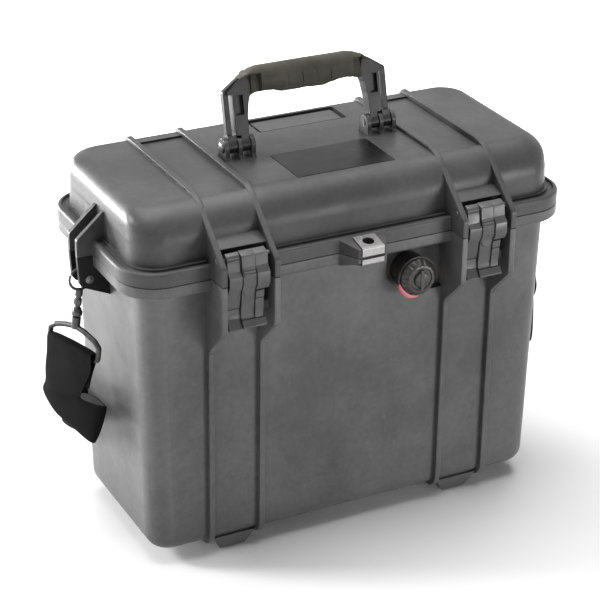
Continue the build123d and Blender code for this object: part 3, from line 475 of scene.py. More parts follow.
# --------------------------------------------------------------------------- mesh tools
class Mesh:
    """Vertices and faces of one piece, in millimetres, joined from simple forms."""

    def __init__(self) -> None:
        """Starts empty."""
        self.verts: list[Vector] = []
        self.faces: list[tuple[int, ...]] = []

    def add(self, verts: Sequence[Sequence[float]], faces: Sequence[Sequence[int]]) -> None:
        """Adds a form.

        Args:
            verts: Its vertices.
            faces: Its faces.
        """
        first = len(self.verts)
        self.verts += [Vector(v) for v in verts]
        self.faces += [tuple(first + i for i in face) for face in faces]

    def loft(self, rings: Sequence[Sequence[Sequence[float]]], closed: bool = False) -> None:
        """Joins rings of equal length with quads and caps the ends.

        Args:
            rings: The rings, in order.
            closed: Whether the last ring joins the first one, with no caps.
        """
        count = len(rings[0])
        total = len(rings)
        verts = [v for ring in rings for v in ring]
        faces = []
        for k in range(total if closed else total - 1):
            low, high = k * count, (k + 1) % total * count
            for i in range(count):
                j = (i + 1) % count
                faces.append((low + i, low + j, high + j, high + i))
        if not closed:
            faces.append(tuple(reversed(range(count))))
            faces.append(tuple(range((total - 1) * count, total * count)))
        self.add(verts, faces)

    def prism(self, outline: Sequence[Point2], x0: float, x1: float) -> None:
        """Outline in the (y, z) plane, from x0 to x1.

        Args:
            outline: Its corners.
            x0: One end.
            x1: The other end.
        """
        self.loft([[(x, y, z) for y, z in outline] for x in (x0, x1)])

    def lathe(self, place: Matrix, profile: Sequence[Point2], steps: int = 40) -> None:
        """Turns a profile of (radius, height) about the local +Z.

        Args:
            place: From the local frame to the part's frame.
            profile: Points from one end to the other, their radii above zero.
            steps: Number of sides.
        """
        turns = [2 * math.pi * k / steps for k in range(steps)]
        rings = [
            [place @ Vector((radius * math.cos(t), radius * math.sin(t), height)) for t in turns]
            for radius, height in profile
        ]
        self.loft(rings)

    def tube(
        self,
        path: Sequence[Sequence[float]],
        radius: float | Callable[[float], float],
        sides: int = 14,
        closed: bool = False,
    ) -> None:
        """Round bar along a path.

        Args:
            path: Its points.
            radius: Its radius, or a function of the share of the path.
            sides: Number of sides.
            closed: Whether it is a closed loop.
        """
        points = [Vector(p) for p in path]
        total = len(points)
        rings = []
        side = None
        for k, point in enumerate(points):
            ahead = points[(k + 1) % total] if closed or k < total - 1 else point
            behind = points[k - 1] if closed or k > 0 else point
            run = (ahead - behind).normalized()
            if side is None:
                side = run.orthogonal().normalized()
            side = (side - run * side.dot(run)).normalized()
            other = run.cross(side)
            r = radius(k / max(total - 1, 1)) if callable(radius) else radius
            turns = [2 * math.pi * i / sides for i in range(sides)]
            rings.append([point + side * r * math.cos(t) + other * r * math.sin(t) for t in turns])
        self.loft(rings, closed)

    def build(self, name: str, material: bpy.types.Material, sharp: float = 35.0) -> bpy.types.Object:
        """Makes the Blender object.

        Args:
            name: Name of the object.
            material: Its material.
            sharp: Edges over this many degrees stay sharp.

        Returns:
            The object.
        """
        data = bpy.data.meshes.new(name)
        data.from_pydata([v * MM for v in self.verts], [], self.faces)
        data.validate()
        obj = bpy.data.objects.new(name, data)
        bpy.context.collection.objects.link(obj)
        bpy.context.view_layer.objects.active = obj
        obj.select_set(True)
        bpy.ops.object.mode_set(mode="EDIT")
        bpy.ops.mesh.select_all(action="SELECT")
        bpy.ops.mesh.normals_make_consistent(inside=False)
        bpy.ops.object.mode_set(mode="OBJECT")
        obj.select_set(False)
        data.shade_smooth()
        data.set_sharp_from_angle(angle=math.radians(sharp))
        data.materials.append(material)
        return obj


def chamfer(obj: bpy.types.Object, width: float, segments: int = 3) -> None:
    """Rounds the sharp edges of a piece.

    Args:
        obj: The piece.
        width: Width in millimetres.
        segments: Number of steps.
    """
    bevel = obj.modifiers.new("round", "BEVEL")
    bevel.width = width * MM
    bevel.segments = segments
    bevel.limit_method = "ANGLE"
    bevel.angle_limit = math.radians(28.0)
    bevel.harden_normals = False


def arc(centre: Point2, radius: float, a0: float, a1: float, steps: int) -> list[Point2]:
    """Points on an arc in a plane.

    Args:
        centre: Its centre.
        radius: Its radius.
        a0: First angle in degrees.
        a1: Last angle in degrees.
        steps: Number of points.

    Returns:
        The points.
    """
    turns = [math.radians(a0 + (a1 - a0) * k / (steps - 1)) for k in range(steps)]
    return [(centre[0] + radius * math.cos(t), centre[1] + radius * math.sin(t)) for t in turns]


def between(table: Sequence[Point2], at: float) -> float:
    """Reads a value from a table of (place, value) with smooth steps.

    Args:
        table: The pairs, in order of place.
        at: The place.

    Returns:
        The value there.
    """
    if at <= table[0][0]:
        return table[0][1]
    for (p0, v0), (p1, v1) in zip(table, table[1:]):
        if at <= p1:
            t = (at - p0) / (p1 - p0)
            t = t * t * (3 - 2 * t)
            return v0 + (v1 - v0) * t
    return table[-1][1]


# --------------------------------------------------------------------------- handle
@dataclass
class Grip:
    """Soft grip moulded round the bar of the handle.

    Attributes:
        pin_y: Place of the handle pin.
        pin_z: Height of the handle pin.
        lean: Degrees that the handle leans back.
        reach: Half length over the upper strip.
        front: Half length of the full-depth part.
        post: Half length of the part below the upper strip.
        depth: Half depth of the full part.
        neck: Half depth beside the posts.
        strip_low: Underside of the upper strip, above the pin.
        top: Height of the top along X.
        under: Height of the underside along X.
        pads: Finger pads as (left, right, top, radius).
        step: Distance between sections.
        around: Points round a section.
        square: Power of the section's rounded square.
        seam_deep: Depth of the seam round a pad.
        seam_wide: Width of the seam.
        pad_proud: How far a pad stands out.
    """

    pin_y: float = 7.0
    pin_z: float = 324.0
    lean: float = 13.5
    reach: float = 58.4
    front: float = 42.2
    post: float = 50.2
    depth: float = 11.0
    neck: float = 6.4
    strip_low: float = 52.2
    top: tuple[Point2, ...] = (
        (0, 61.1), (40, 61.0), (45.5, 60.0), (50.2, 58.3), (55.8, 54.9), (58.4, 53.6),
    )
    under: tuple[Point2, ...] = (
        (-50.2, 37.6), (-48.0, 38.6), (-45.0, 39.6), (-38, 40.0), (-31, 39.6), (-20.6, 37.3), (-9, 37.2),
        (-1.5, 37.5), (7, 36.9), (14.6, 36.7), (23.4, 38.4), (30, 39.6), (36.5, 39.9), (43, 39.2),
        (48, 38.0), (50.2, 37.4),
    )
    pads: tuple[tuple[float, float, float, float], ...] = (
        (-40.0, -18.5, 50.5, 3.0), (-5.5, 7.0, 52.5, 2.5), (20.0, 42.0, 51.5, 3.0),
    )
    step: float = 0.8
    around: int = 84
    square: float = 3.1
    seam_deep: float = 0.55
    seam_wide: float = 0.6
    pad_proud: float = 0.5

    def build(self, book: FinishBook) -> None:
        """Makes the grip and its place on the handle.

        Args:
            book: The finishes.
        """
        mesh = Mesh()
        lean = Matrix.Rotation(math.radians(-self.lean), 4, "X")
        place = Matrix.Translation((0, self.pin_y, self.pin_z)) @ lean
        count = int(2 * self.reach / self.step) + 1
        rings = []
        for k in range(count):
            x = -self.reach + 2 * self.reach * k / (count - 1)
            rings.append([place @ Vector((x, y, h)) for y, h in self._section(x)])
        mesh.loft(rings)
        obj = mesh.build("grip_sleeve", book.get(GRIP), sharp=50.0)
        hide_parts("handle_grip")
        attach(obj, "handle")
        LOG.info("grip_sleeve: %d sections", count)

    def _section(self, x: float) -> list[Point2]:
        """One cross-section as (depth, height) points.

        Args:
            x: Its place along the handle.

        Returns:
            The points.
        """
        high = between(self.top, abs(x))
        low = self.strip_low if abs(x) > self.post else between(self.under, x)
        middle, half = (low + high) / 2, (high - low) / 2
        points = []
        for k in range(self.around):
            t = 2 * math.pi * k / self.around
            c, s = math.cos(t), math.sin(t)
            h = middle + half * math.copysign(abs(s) ** (2 / self.square), s)
            shape = math.copysign(abs(c) ** (2 / self.square), c)
            points.append((shape * (self._depth(x, h) + self._relief(x, h) * abs(shape)), h))
        return points

    def _depth(self, x: float, h: float) -> float:
        """Half depth at a place.

        Args:
            x: Place along the handle.
            h: Height above the pin.

        Returns:
            The half depth.
        """
        end = between(((0, self.depth), (self.post, self.depth - 0.6), (self.reach, 5.4)), abs(x))
        if abs(x) <= self.front:
            return end
        open_below = between(((self.strip_low + 2.2, 1.0), (self.strip_low + 3.4, 0.0)), h)
        return end + (self.neck - end) * open_below * (1.0 if end > self.neck else 0.0)

    def _relief(self, x: float, h: float) -> float:
        """Finger pads and the seam along their top and right edges.

        Args:
            x: Place along the handle.
            h: Height above the pin.

        Returns:
            How far the surface stands out.
        """
        out = 0.0
        for left, right, top, radius in self.pads:
            dx = max(left - x, x - (right - radius), 0.0)
            dh = max(h - (top - radius), 0.0)
            edge = math.hypot(dx if x > left else dx, dh) - radius
            if x < left:
                edge = max(h - top, left - x)
            if x > left - 1.5:
                out -= self.seam_deep * math.exp(-((edge / self.seam_wide) ** 2))
            out += self.pad_proud * between(((-2.5, 1.0), (-0.4, 0.0)), edge)
        return out


@dataclass
class Rivets:
    """Domed heads on the handle pins and the strap pins.

    Attributes:
        handle_head: Radius of the heads on the handle lugs.
        strap_head: Radius of the heads on the side fins.
        dome: Height of a head.
    """

    handle_head: float = 4.6
    strap_head: float = 3.5
    dome: float = 1.5

    def build(self, book: FinishBook) -> None:
        """Makes every head.

        Args:
            book: The finishes.
        """
        for name, side in SIDES.items():
            low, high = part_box(f"handle_pin_{name}")
            seat = (high.x if side > 0 else low.x) / MM - side * 0.9
            middle = (low + high) / 2 / MM
            turn = Matrix.Rotation(math.radians(90 * side), 4, "Y")
            place = Matrix.Translation((seat, middle.y, middle.z)) @ turn
            self._head(book, f"handle_rivet_{name}", place, self.handle_head, "lid")
            low, high = (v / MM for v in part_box(f"strap_pin_{name}"))
            middle = (low + high) / 2
            for end, y, angle in (("front", low.y + 0.9, 90), ("rear", high.y - 0.9, -90)):
                turn = Matrix.Rotation(math.radians(angle), 4, "X")
                place = Matrix.Translation((middle.x, y, middle.z)) @ turn
                self._head(book, f"strap_rivet_{end}_{name}", place, self.strap_head, "base")

    def _head(self, book: FinishBook, name: str, place: Matrix, radius: float, body: str) -> None:
        """Makes one head.

        Args:
            book: The finishes.
            name: Name of the piece.
            place: Its frame, +Z outwards.
            radius: Its radius.
            body: The body it rides on.
        """
        profile = [(radius, -0.4), (radius, 0.2)]
        for a in (0.4, 0.8, 1.15, 1.4):
            profile.append((radius * math.cos(a) + 0.02, 0.2 + (self.dome - 0.2) * math.sin(a)))
        profile += [(radius * 0.12, self.dome), (0.02, self.dome - 0.35)]
        mesh = Mesh()
        mesh.lathe(place, profile, 28)
        obj = mesh.build(name, book.get(PIN))
        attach(obj, body)


# --------------------------------------------------------------------------- latches
@dataclass
class Latch:
    """One two-part latch: hook link on the left, release lever on the right.

    Attributes:
        pair_x: Middle of a pair of ribs.
        link_x: Ends of the link from the middle.
        lever_x: Ends of the lever from the middle.
        flat_x: Where the lever's flat part meets its raised bar.
        bar_x: Right end of the lever below its block.
        set_back: How far the flat part lies behind the bar.
        round: Radius of the rounded edges.
        link_front: Front of the link, as (y, z).
        link_low: Outline of the link's foot.
        link_back: Back of the link.
        lever_cap: Front of the lever above its block.
        lever_block: Front of the raised block.
        lever_bar: Front of the bar below the block.
        lever_low: Front of the lower part.
        lever_lip: Outline of the pull lip.
        lever_back: Back of the lever.
        ridges: Middles of the grip ridges.
        ridge_radius: Radius of a ridge.
    """

    pair_x: float = 106.2
    link_x: Point2 = (-18.1, -7.25)
    lever_x: Point2 = (-6.75, 15.2)
    flat_x: float = 4.6
    bar_x: float = 11.6
    set_back: float = 1.5
    round: float = 0.55
    link_front: tuple[Point2, ...] = (
        (-97.8, 283.0), (-101.0, 281.6), (-101.9, 280.4), (-102.9, 274.0), (-103.9, 268.6), (-107.2, 265.6),
        (-107.5, 264.4), (-106.9, 257.2), (-105.9, 255.2), (-103.5, 250.8), (-102.8, 243.4), (-101.2, 236.6),
    )
    link_low: tuple[Point2, ...] = (
        (-101.1, 236.0), (-100.9, 232.0), (-101.4, 228.0), (-104.6, 223.6), (-106.6, 220.9), (-106.3, 220.0),
        (-104.2, 219.6), (-99.4, 223.2), (-99.3, 226.5), (-96.3, 229.0), (-96.3, 235.5), (-97.2, 236.0),
    )
    link_back: tuple[Point2, ...] = (
        (-97.4, 236.6), (-98.5, 239.0), (-98.5, 258.0), (-94.4, 268.5), (-92.3, 274.0), (-91.8, 279.0),
    )
    lever_cap: tuple[Point2, ...] = (
        (-97.0, 283.2), (-103.3, 281.7), (-104.3, 280.8), (-105.1, 272.2), (-105.4, 271.3), (-108.9, 267.9),
        (-109.3, 266.9),
    )
    lever_block: tuple[Point2, ...] = ((-109.5, 258.2), (-108.9, 256.7), (-106.6, 252.2))
    lever_bar: tuple[Point2, ...] = ((-106.3, 250.8), (-105.6, 244.4))
    lever_low: tuple[Point2, ...] = (
        (-105.5, 243.8), (-105.1, 239.6), (-104.2, 231.6), (-104.7, 227.2),
    )
    lever_lip: tuple[Point2, ...] = (
        (-104.7, 226.6), (-108.0, 222.2), (-108.0, 221.2), (-106.2, 220.0), (-100.8, 224.6), (-99.9, 227.0),
    )
    lever_back: tuple[Point2, ...] = (
        (-99.8, 233.0), (-98.8, 258.0), (-94.4, 268.5), (-92.3, 274.0), (-91.8, 279.0),
    )
    ridges: tuple[Point2, ...] = ((-105.6, 270.6), (-106.9, 268.3), (-107.9, 265.9))
    ridge_radius: float = 0.75

    def build(self, book: FinishBook, name: str) -> None:
        """Makes both parts of one latch.

        Args:
            book: The finishes.
            name: left or right.
        """
        middle = SIDES[name] * self.pair_x
        self._link(book, name, middle)
        self._lever(book, name, middle)
        LOG.info("latch %s", name)

    def _link(self, book: FinishBook, name: str, middle: float) -> None:
        """Makes the hook link.

        Args:
            book: The finishes.
            name: left or right.
            middle: Middle of the pair of ribs.
        """
        x0, x1 = (middle + x for x in self.link_x)
        mesh = Mesh()
        mesh.prism(self.link_front + self.link_back, x0, x1)
        mesh.prism(self.link_low, x0, x1)
        mesh.prism([(-100.2, 238.0), (-100.2, 234.0), (-97.6, 234.0), (-97.6, 238.0)], x0 + 0.5, x1 - 0.5)
        for z in (279.6, 277.6):
            mesh.tube([(x0 + 0.8, -102.5, z), (x1 - 0.8, -102.5, z)], 0.45, 8)
        obj = mesh.build(f"latch_hook_part_{name}", book.get(LATCH), 30.0)
        chamfer(obj, self.round)
        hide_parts(f"latch_link_{name}")
        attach(obj, f"latch_hook_{name}")

    def _lever(self, book: FinishBook, name: str, middle: float) -> None:
        """Makes the release lever.

        Args:
            book: The finishes.
            name: left or right.
            middle: Middle of the pair of ribs.
        """
        x0, x1 = (middle + x for x in self.lever_x)
        flat, bar = middle + self.flat_x, middle + self.bar_x
        back = self.lever_back
        mesh = Mesh()
        mesh.prism(self.lever_cap + self.lever_block + ((-99.4, 252.2),) + back[1:], flat, x1)
        mesh.prism(self.lever_bar + ((-99.0, 244.4), (-98.9, 252.4)), flat, bar)
        mesh.prism(self.lever_low + ((-99.8, 233.0), (-99.4, 243.8)), flat, bar)
        d = self.set_back
        low = [(y + d, z) for y, z in self.lever_block + self.lever_bar + self.lever_low]
        cap = list(self.lever_cap[:5]) + [(-106.4, 268.6), (-107.8, 266.9)]
        mesh.prism(cap + low + list(back), x0, flat - 0.1)
        mesh.prism(self.lever_lip, x0, middle + self.lever_x[1] - 1.8)
        mesh.prism([(-103.0, 230.0), (-103.0, 225.6), (-100.4, 225.6), (-100.0, 232.0)], x0 + 0.4, bar - 0.4)
        for y, z in self.ridges:
            mesh.tube([(x0 + 0.7, y, z), (flat - 0.7, y, z)], self.ridge_radius, 10)
        disc = Matrix.Translation((x0 + 5.6, -104.6, 251.4)) @ Matrix.Rotation(math.radians(90), 4, "X")
        mesh.lathe(disc, [(4.9, -1.0), (4.9, 0.75), (4.3, 1.15), (0.4, 1.15)], 32)
        obj = mesh.build(f"latch_lever_part_{name}", book.get(LATCH), 30.0)
        chamfer(obj, self.round)
        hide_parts(f"latch_lever_{name}")
        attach(obj, f"latch_release_{name}")


# --------------------------------------------------------------------------- valve
@dataclass
class Valve:
    """Pressure valve: ribbed cap with a key bar, over a red seal ring drawn red only on its lit lower-left
    arc, with a dark collar as painted shade over the rest of the ring.

    Attributes:
        x: Place of its axis.
        z: Height of its axis.
        cap_radius: Radius of the cap at its foot.
        nose_radius: Radius of the cap at its nose.
        front: Face of the cap.
        rear: Foot of the cap.
        flutes: Number of flutes round the cap.
        seal_radius: Radius of the seal's centre line.
        seal_tube: Radius of the seal at its thickest.
        seal_from: Where the seal starts, in degrees.
        seal_to: Where it ends.
    """

    x: float = 50.0
    z: float = 225.5
    cap_radius: float = 16.0
    nose_radius: float = 12.4
    front: float = -98.0
    rear: float = -91.9
    flutes: int = 16
    seal_radius: float = 17.0
    seal_tube: float = 2.3
    seal_from: float = 192.0
    seal_to: float = 276.0

    def build(self, book: FinishBook) -> None:
        """Makes the cap, the dark collar of painted shade and the lit arc of the seal.

        Args:
            book: The finishes.
        """
        self._cap(book)
        self._collar(book)
        self._seal(book)
        LOG.info("valve at %.1f, %.1f", self.x, self.z)

    def _polar(self, radius: float, turn: float, y: float) -> Point3:
        """A point by radius and angle about the valve's axis."""
        return (self.x + radius * math.cos(turn), y, self.z + radius * math.sin(turn))

    def _cap(self, book: FinishBook) -> None:
        """Makes the cap that turns.

        Args:
            book: The finishes.
        """
        steps = self.flutes * 10
        rows = [
            (self.cap_radius - 2.4, self.rear, 0.0), (self.cap_radius, self.rear, 0.0),
            (self.cap_radius, self.rear - 1.2, 0.2), (self.cap_radius - 0.9, self.rear - 2.4, 1.0),
            (self.nose_radius + 0.9, self.front + 1.3, 1.0), (self.nose_radius + 0.2, self.front + 0.5, 0.6),
            (self.nose_radius - 0.8, self.front, 0.1), (9.6, self.front, 0.0), (9.1, self.front + 0.9, 0.0),
            (6.6, self.front + 0.9, 0.0), (6.2, self.front - 0.9, 0.0), (5.4, self.front - 1.3, 0.0),
            (0.6, self.front - 1.45, 0.0),
        ]
        rings = []
        for radius, y, share in rows:
            ring = []
            for k in range(steps):
                turn = 2 * math.pi * k / steps
                flute = 0.5 - 0.5 * math.cos(turn * self.flutes)
                ring.append(self._polar(radius - 0.9 * share * flute**2, turn, y))
            rings.append(ring)
        mesh = Mesh()
        mesh.loft(rings)
        bar = [(-1.7, -8.4), (1.7, -8.4), (1.7, 8.4), (-1.7, 8.4)]
        tops = [(u * 0.72, v * 0.95) for u, v in bar]
        front = self.front + 1.2
        mesh.loft([
            [(self.x + u, front, self.z + v) for u, v in bar],
            [(self.x + u, self.front - 1.6, self.z + v) for u, v in bar],
            [(self.x + u, self.front - 2.2, self.z + v) for u, v in tops],
        ])
        obj = mesh.build("valve_knob_cap", book.get(VALVE), 40.0)
        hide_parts("valve_cap")
        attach(obj, "valve_knob")

    def _collar(self, book: FinishBook) -> None:
        """Makes the dark collar behind the cap, a ring the size of the red seal: painted shade over the part
        of the seal that lies in shade.

        Args:
            book: The finishes.
        """
        turn = Matrix.Rotation(math.radians(90), 4, "X")
        place = Matrix.Translation((self.x, self.rear + 0.5, self.z)) @ turn
        profile = [(10.0, -1.9), (16.9, -1.9), (17.3, -1.5), (17.3, -0.6), (16.9, -0.1), (10.0, -0.1)]
        mesh = Mesh()
        mesh.lathe(place, profile, 64)
        obj = mesh.build("valve_shade_collar", book.get(VALVE))
        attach(obj, "base")

    def _seal(self, book: FinishBook) -> None:
        """Makes the red seal only along its lit lower-left arc; the dark collar paints shade over the rest.

        Args:
            book: The finishes.
        """
        path = []
        for k in range(41):
            turn = math.radians(self.seal_from + (self.seal_to - self.seal_from) * k / 40)
            path.append(self._polar(self.seal_radius, turn, self.rear + 0.9))
        mesh = Mesh()
        mesh.tube(path, lambda t: 0.25 + self.seal_tube * math.sin(math.pi * t) ** 0.5, 14)
        obj = mesh.build("valve_seal_lit_arc", book.get(RED))
        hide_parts("valve_ring")
        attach(obj, "base")


# --------------------------------------------------------------------------- strap
@dataclass
class SnapHook:
    """Snap hook on a strap pin, drawn for the left side.

    Attributes:
        place: Centre of the ring.
        tilt: Degrees that the fitting leans.
        ring: Radius of the ring's centre line.
        wire: Radius of the wire.
        gate_from: Where the opening of the ring starts, in degrees.
        gate_tip: Where the gate's tip ends.
        gate_to: Where the opening ends, at the gate's pivot.
    """

    place: Point3 = (-205.5, -1.0, 237.2)
    tilt: float = 7.4
    ring: float = 8.95
    wire: float = 1.15
    gate_from: float = 150.0
    gate_tip: float = 158.0
    gate_to: float = 212.0

    def build(self, book: FinishBook, name: str) -> None:
        """Makes the hook of one side.

        Args:
            book: The finishes.
            name: left or right.
        """
        turn = Matrix.Translation(self.place) @ Matrix.Rotation(math.radians(self.tilt), 4, "Y")
        if SIDES[name] > 0:
            turn = Matrix.Scale(-1, 4, (1, 0, 0)) @ turn
        mesh = Mesh()
        mesh.tube([turn @ p for p in self._arc(self.gate_to, self.gate_from + 360, 60)], self.wire, 12)
        profile = [
            (0.6, -self.ring + 1.0), (2.6, -self.ring + 0.4), (3.1, -self.ring - 0.8),
            (3.1, -14.0), (2.2, -14.8),
            (2.2, -16.4), (3.0, -17.2), (3.0, -22.0), (2.1, -22.8), (2.1, -24.2), (3.3, -25.0), (3.6, -27.0),
            (4.3, -27.8), (4.3, -30.6), (3.4, -31.4), (2.6, -32.0), (0.6, -32.2),
        ]
        mesh.lathe(turn, profile, 28)
        for angle in (40.0, 160.0, 280.0):
            spin = turn @ Matrix.Rotation(math.radians(angle), 4, "Z")
            mesh.tube([spin @ Vector((3.0, 0, z)) for z in (-17.6, -19.6, -21.6)], 0.5, 8)
        obj = mesh.build(f"hook_body_{name}", book.get(DARK_STEEL), 40.0)
        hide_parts(f"snap_hook_{name}")
        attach(obj, f"snap_{name}")
        gate = Mesh()
        gate.tube([turn @ p for p in self._arc(self.gate_tip, self.gate_to - 5, 16)], self.wire * 0.85, 12)
        pivot = self._arc(self.gate_to - 5, self.gate_to - 4, 2)[0]
        gate.tube([turn @ (pivot + Vector((0, y, 0))) for y in (-1.2, -0.8, 0.8, 1.2)], 1.3, 14)
        part = gate.build(f"hook_gate_part_{name}", book.get(DARK_STEEL), 40.0)
        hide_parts(f"hook_gate_{name}")
        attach(part, f"gate_{name}")
        LOG.info("snap hook %s", name)

    def _arc(self, a0: float, a1: float, steps: int) -> list[Vector]:
        """Points on the ring.

        Args:
            a0: First angle in degrees.
            a1: Last angle in degrees.
            steps: Number of points.

        Returns:
            The points in the fitting's frame.
        """
        return [Vector((x, 0, z)) for x, z in arc((0, 0), self.ring, a0, a1, steps)]


@dataclass
class Webbing:
    """Half of the shoulder strap, from the bar of its loop to the middle of the back.

    The strap is drawn for the left side as pairs of edge points: it goes round the bar, hangs
    with its width along the bar, turns forward, folds round and runs back along the case.

    Attributes:
        bar: Middle of the loop's bar.
        bar_run: Direction of the bar.
        wrap: Radius of the turn round the bar.
        width: Width of the webbing.
        thick: Its thickness.
        cup: How far it bows across its width.
        cup_from: Station at which the bow starts.
        cup_over: Stations over which it grows.
        across: Number of cells across.
        between_keys: Stations for each pair of edge points.
        edges: Pairs of edge points, lower and upper.
    """

    bar: Point3 = (-214.8, -1.0, 178.6)
    bar_run: Point3 = (-0.377, 0.924, 0.065)
    wrap: float = 3.9
    width: float = 50.0
    thick: float = 2.0
    cup: float = 0.8
    cup_from: int = 10
    cup_over: int = 8
    between_keys: int = 6
    across: int = 14
    edges: tuple[tuple[Point3, Point3], ...] = (
        ((-227.6, 22.2, 168.0), (-208.6, -24.6, 166.0)),
        ((-229.6, 21.6, 155.0), (-212.4, -21.4, 154.0)),
        ((-230.0, 22.2, 142.2), (-214.6, -16.6, 143.0)),
        ((-231.2, 25.6, 130.4), (-214.8, -14.0, 139.4)),
        ((-226.8, 13.0, 116.4), (-213.0, -17.0, 137.8)),
        ((-219.4, -4.4, 109.4), (-209.0, -22.6, 136.8)),
        ((-212.4, -18.0, 102.6), (-204.2, -28.6, 136.4)),
        ((-208.4, -23.6, 100.6), (-200.2, -31.0, 135.8)),
        ((-205.0, -21.0, 101.6), (-197.8, -27.0, 133.6)),
        ((-200.4, -2.0, 98.6), (-197.6, -6.0, 131.0)),
        ((-198.4, 18.0, 90.0), (-197.4, 14.0, 124.4)),
        ((-197.6, 38.0, 78.4), (-197.2, 36.0, 115.0)),
        ((-196.8, 60.0, 69.4), (-196.6, 60.0, 109.0)),
        ((-194.4, 86.0, 62.0), (-194.2, 86.0, 106.0)),
        ((-186.0, 103.0, 57.0), (-186.0, 103.0, 104.4)),
        ((-172.0, 108.1, 53.0), (-172.0, 108.1, 101.6)),
        ((-130.0, 108.3, 42.0), (-130.0, 108.3, 91.6)),
        ((-70.0, 108.3, 32.0), (-70.0, 108.3, 82.0)),
        ((0.0, 108.3, 28.2), (0.0, 108.3, 78.2)),
    )

    def build(self, book: FinishBook, name: str) -> None:
        """Makes the strap of one side.

        Args:
            book: The finishes.
            name: left or right.
        """
        flip = SIDES[name] > 0
        stations = self._stations()
        rings, uvs = [], []
        run = 0.0
        previous = None
        for k, (a, b) in enumerate(stations):
            middle = (a + b) / 2
            run += (middle - previous).length if previous else 0.0
            previous = middle
            ahead = stations[min(k + 1, len(stations) - 1)]
            behind = stations[max(k - 1, 0)]
            along = ((ahead[0] + ahead[1]) - (behind[0] + behind[1])).normalized()
            out = (b - a).cross(along).normalized()
            front, back, uv = [], [], []
            for i in range(self.across + 1):
                t = i / self.across
                lift = out * (-self.cup * math.sin(math.pi * t) * self._cupped(k))
                point = a.lerp(b, t) + lift
                half = self.thick / 2 * (0.55 + 0.45 * min(1.0, 8 * min(t, 1 - t)))
                front.append(point + out * half)
                back.append(point - out * half)
                uv.append((t * self.width, run))
            ring = front + back[::-1]
            uvs += uv + uv[::-1]
            rings.append([Vector((-p.x, p.y, p.z)) if flip else p for p in ring])
        mesh = Mesh()
        mesh.loft(rings)
        obj = mesh.build(f"strap_ribbon_{name}", book.get(WEB), 50.0)
        layer = obj.data.uv_layers.new(name="weave")
        for loop in obj.data.loops:
            layer.data[loop.index].uv = uvs[loop.vertex_index]
        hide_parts(f"strap_end_{name}")
        if not flip:
            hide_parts("strap_web")
        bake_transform(obj)
        LOG.info("strap %s: %.0f mm", name, run)

    def _cupped(self, k: int) -> float:
        """Share of the cupping at a station: none at the bar, full below it."""
        return min(1.0, max(0.0, (k - self.cup_from) / self.cup_over))

    def _stations(self) -> list[tuple[Vector, Vector]]:
        """Edge points along the strap, close enough for a smooth surface.

        Returns:
            Pairs of lower and upper edge points.
        """
        centre, run = Vector(self.bar), Vector(self.bar_run).normalized()
        first = (Vector(self.edges[0][0]) + Vector(self.edges[0][1])) / 2
        down = first - centre
        down = (down - run * down.dot(run)).normalized()
        out = run.cross(down).normalized()
        if out.x > 0:
            out = -out
        half = run * self.width / 2
        keys = []
        for drop in (26.0, 16.0, 8.0):
            middle = centre + down * drop - out * (self.wrap - 1.9) * (1.0 if drop > 10 else 1.5)
            keys.append((middle + half, middle - half))
        for angle in (-70.0, -25.0, 25.0, 70.0):
            turn = math.radians(angle)
            middle = centre - down * self.wrap * math.cos(turn) + out * self.wrap * math.sin(turn)
            keys.append((middle + half, middle - half))
        keys += [(Vector(a), Vector(b)) for a, b in self.edges]
        stations = []
        for k in range(len(keys) - 1):
            around = [keys[max(0, min(len(keys) - 1, k + j))] for j in (-1, 0, 1, 2)]
            for s in range(self.between_keys):
                t = s / self.between_keys
                stations.append(tuple(self._spline([p[e] for p in around], t) for e in (0, 1)))
        stations.append(keys[-1])
        return stations

    @staticmethod
    def _spline(p: Sequence[Vector], t: float) -> Vector:
        """Catmull-Rom point between the middle two of four points."""
        return 0.5 * (
            2 * p[1] + (p[2] - p[0]) * t + (2 * p[0] - 5 * p[1] + 4 * p[2] - p[3]) * t**2
            + (3 * p[1] - p[0] - 3 * p[2] + p[3]) * t**3
        )


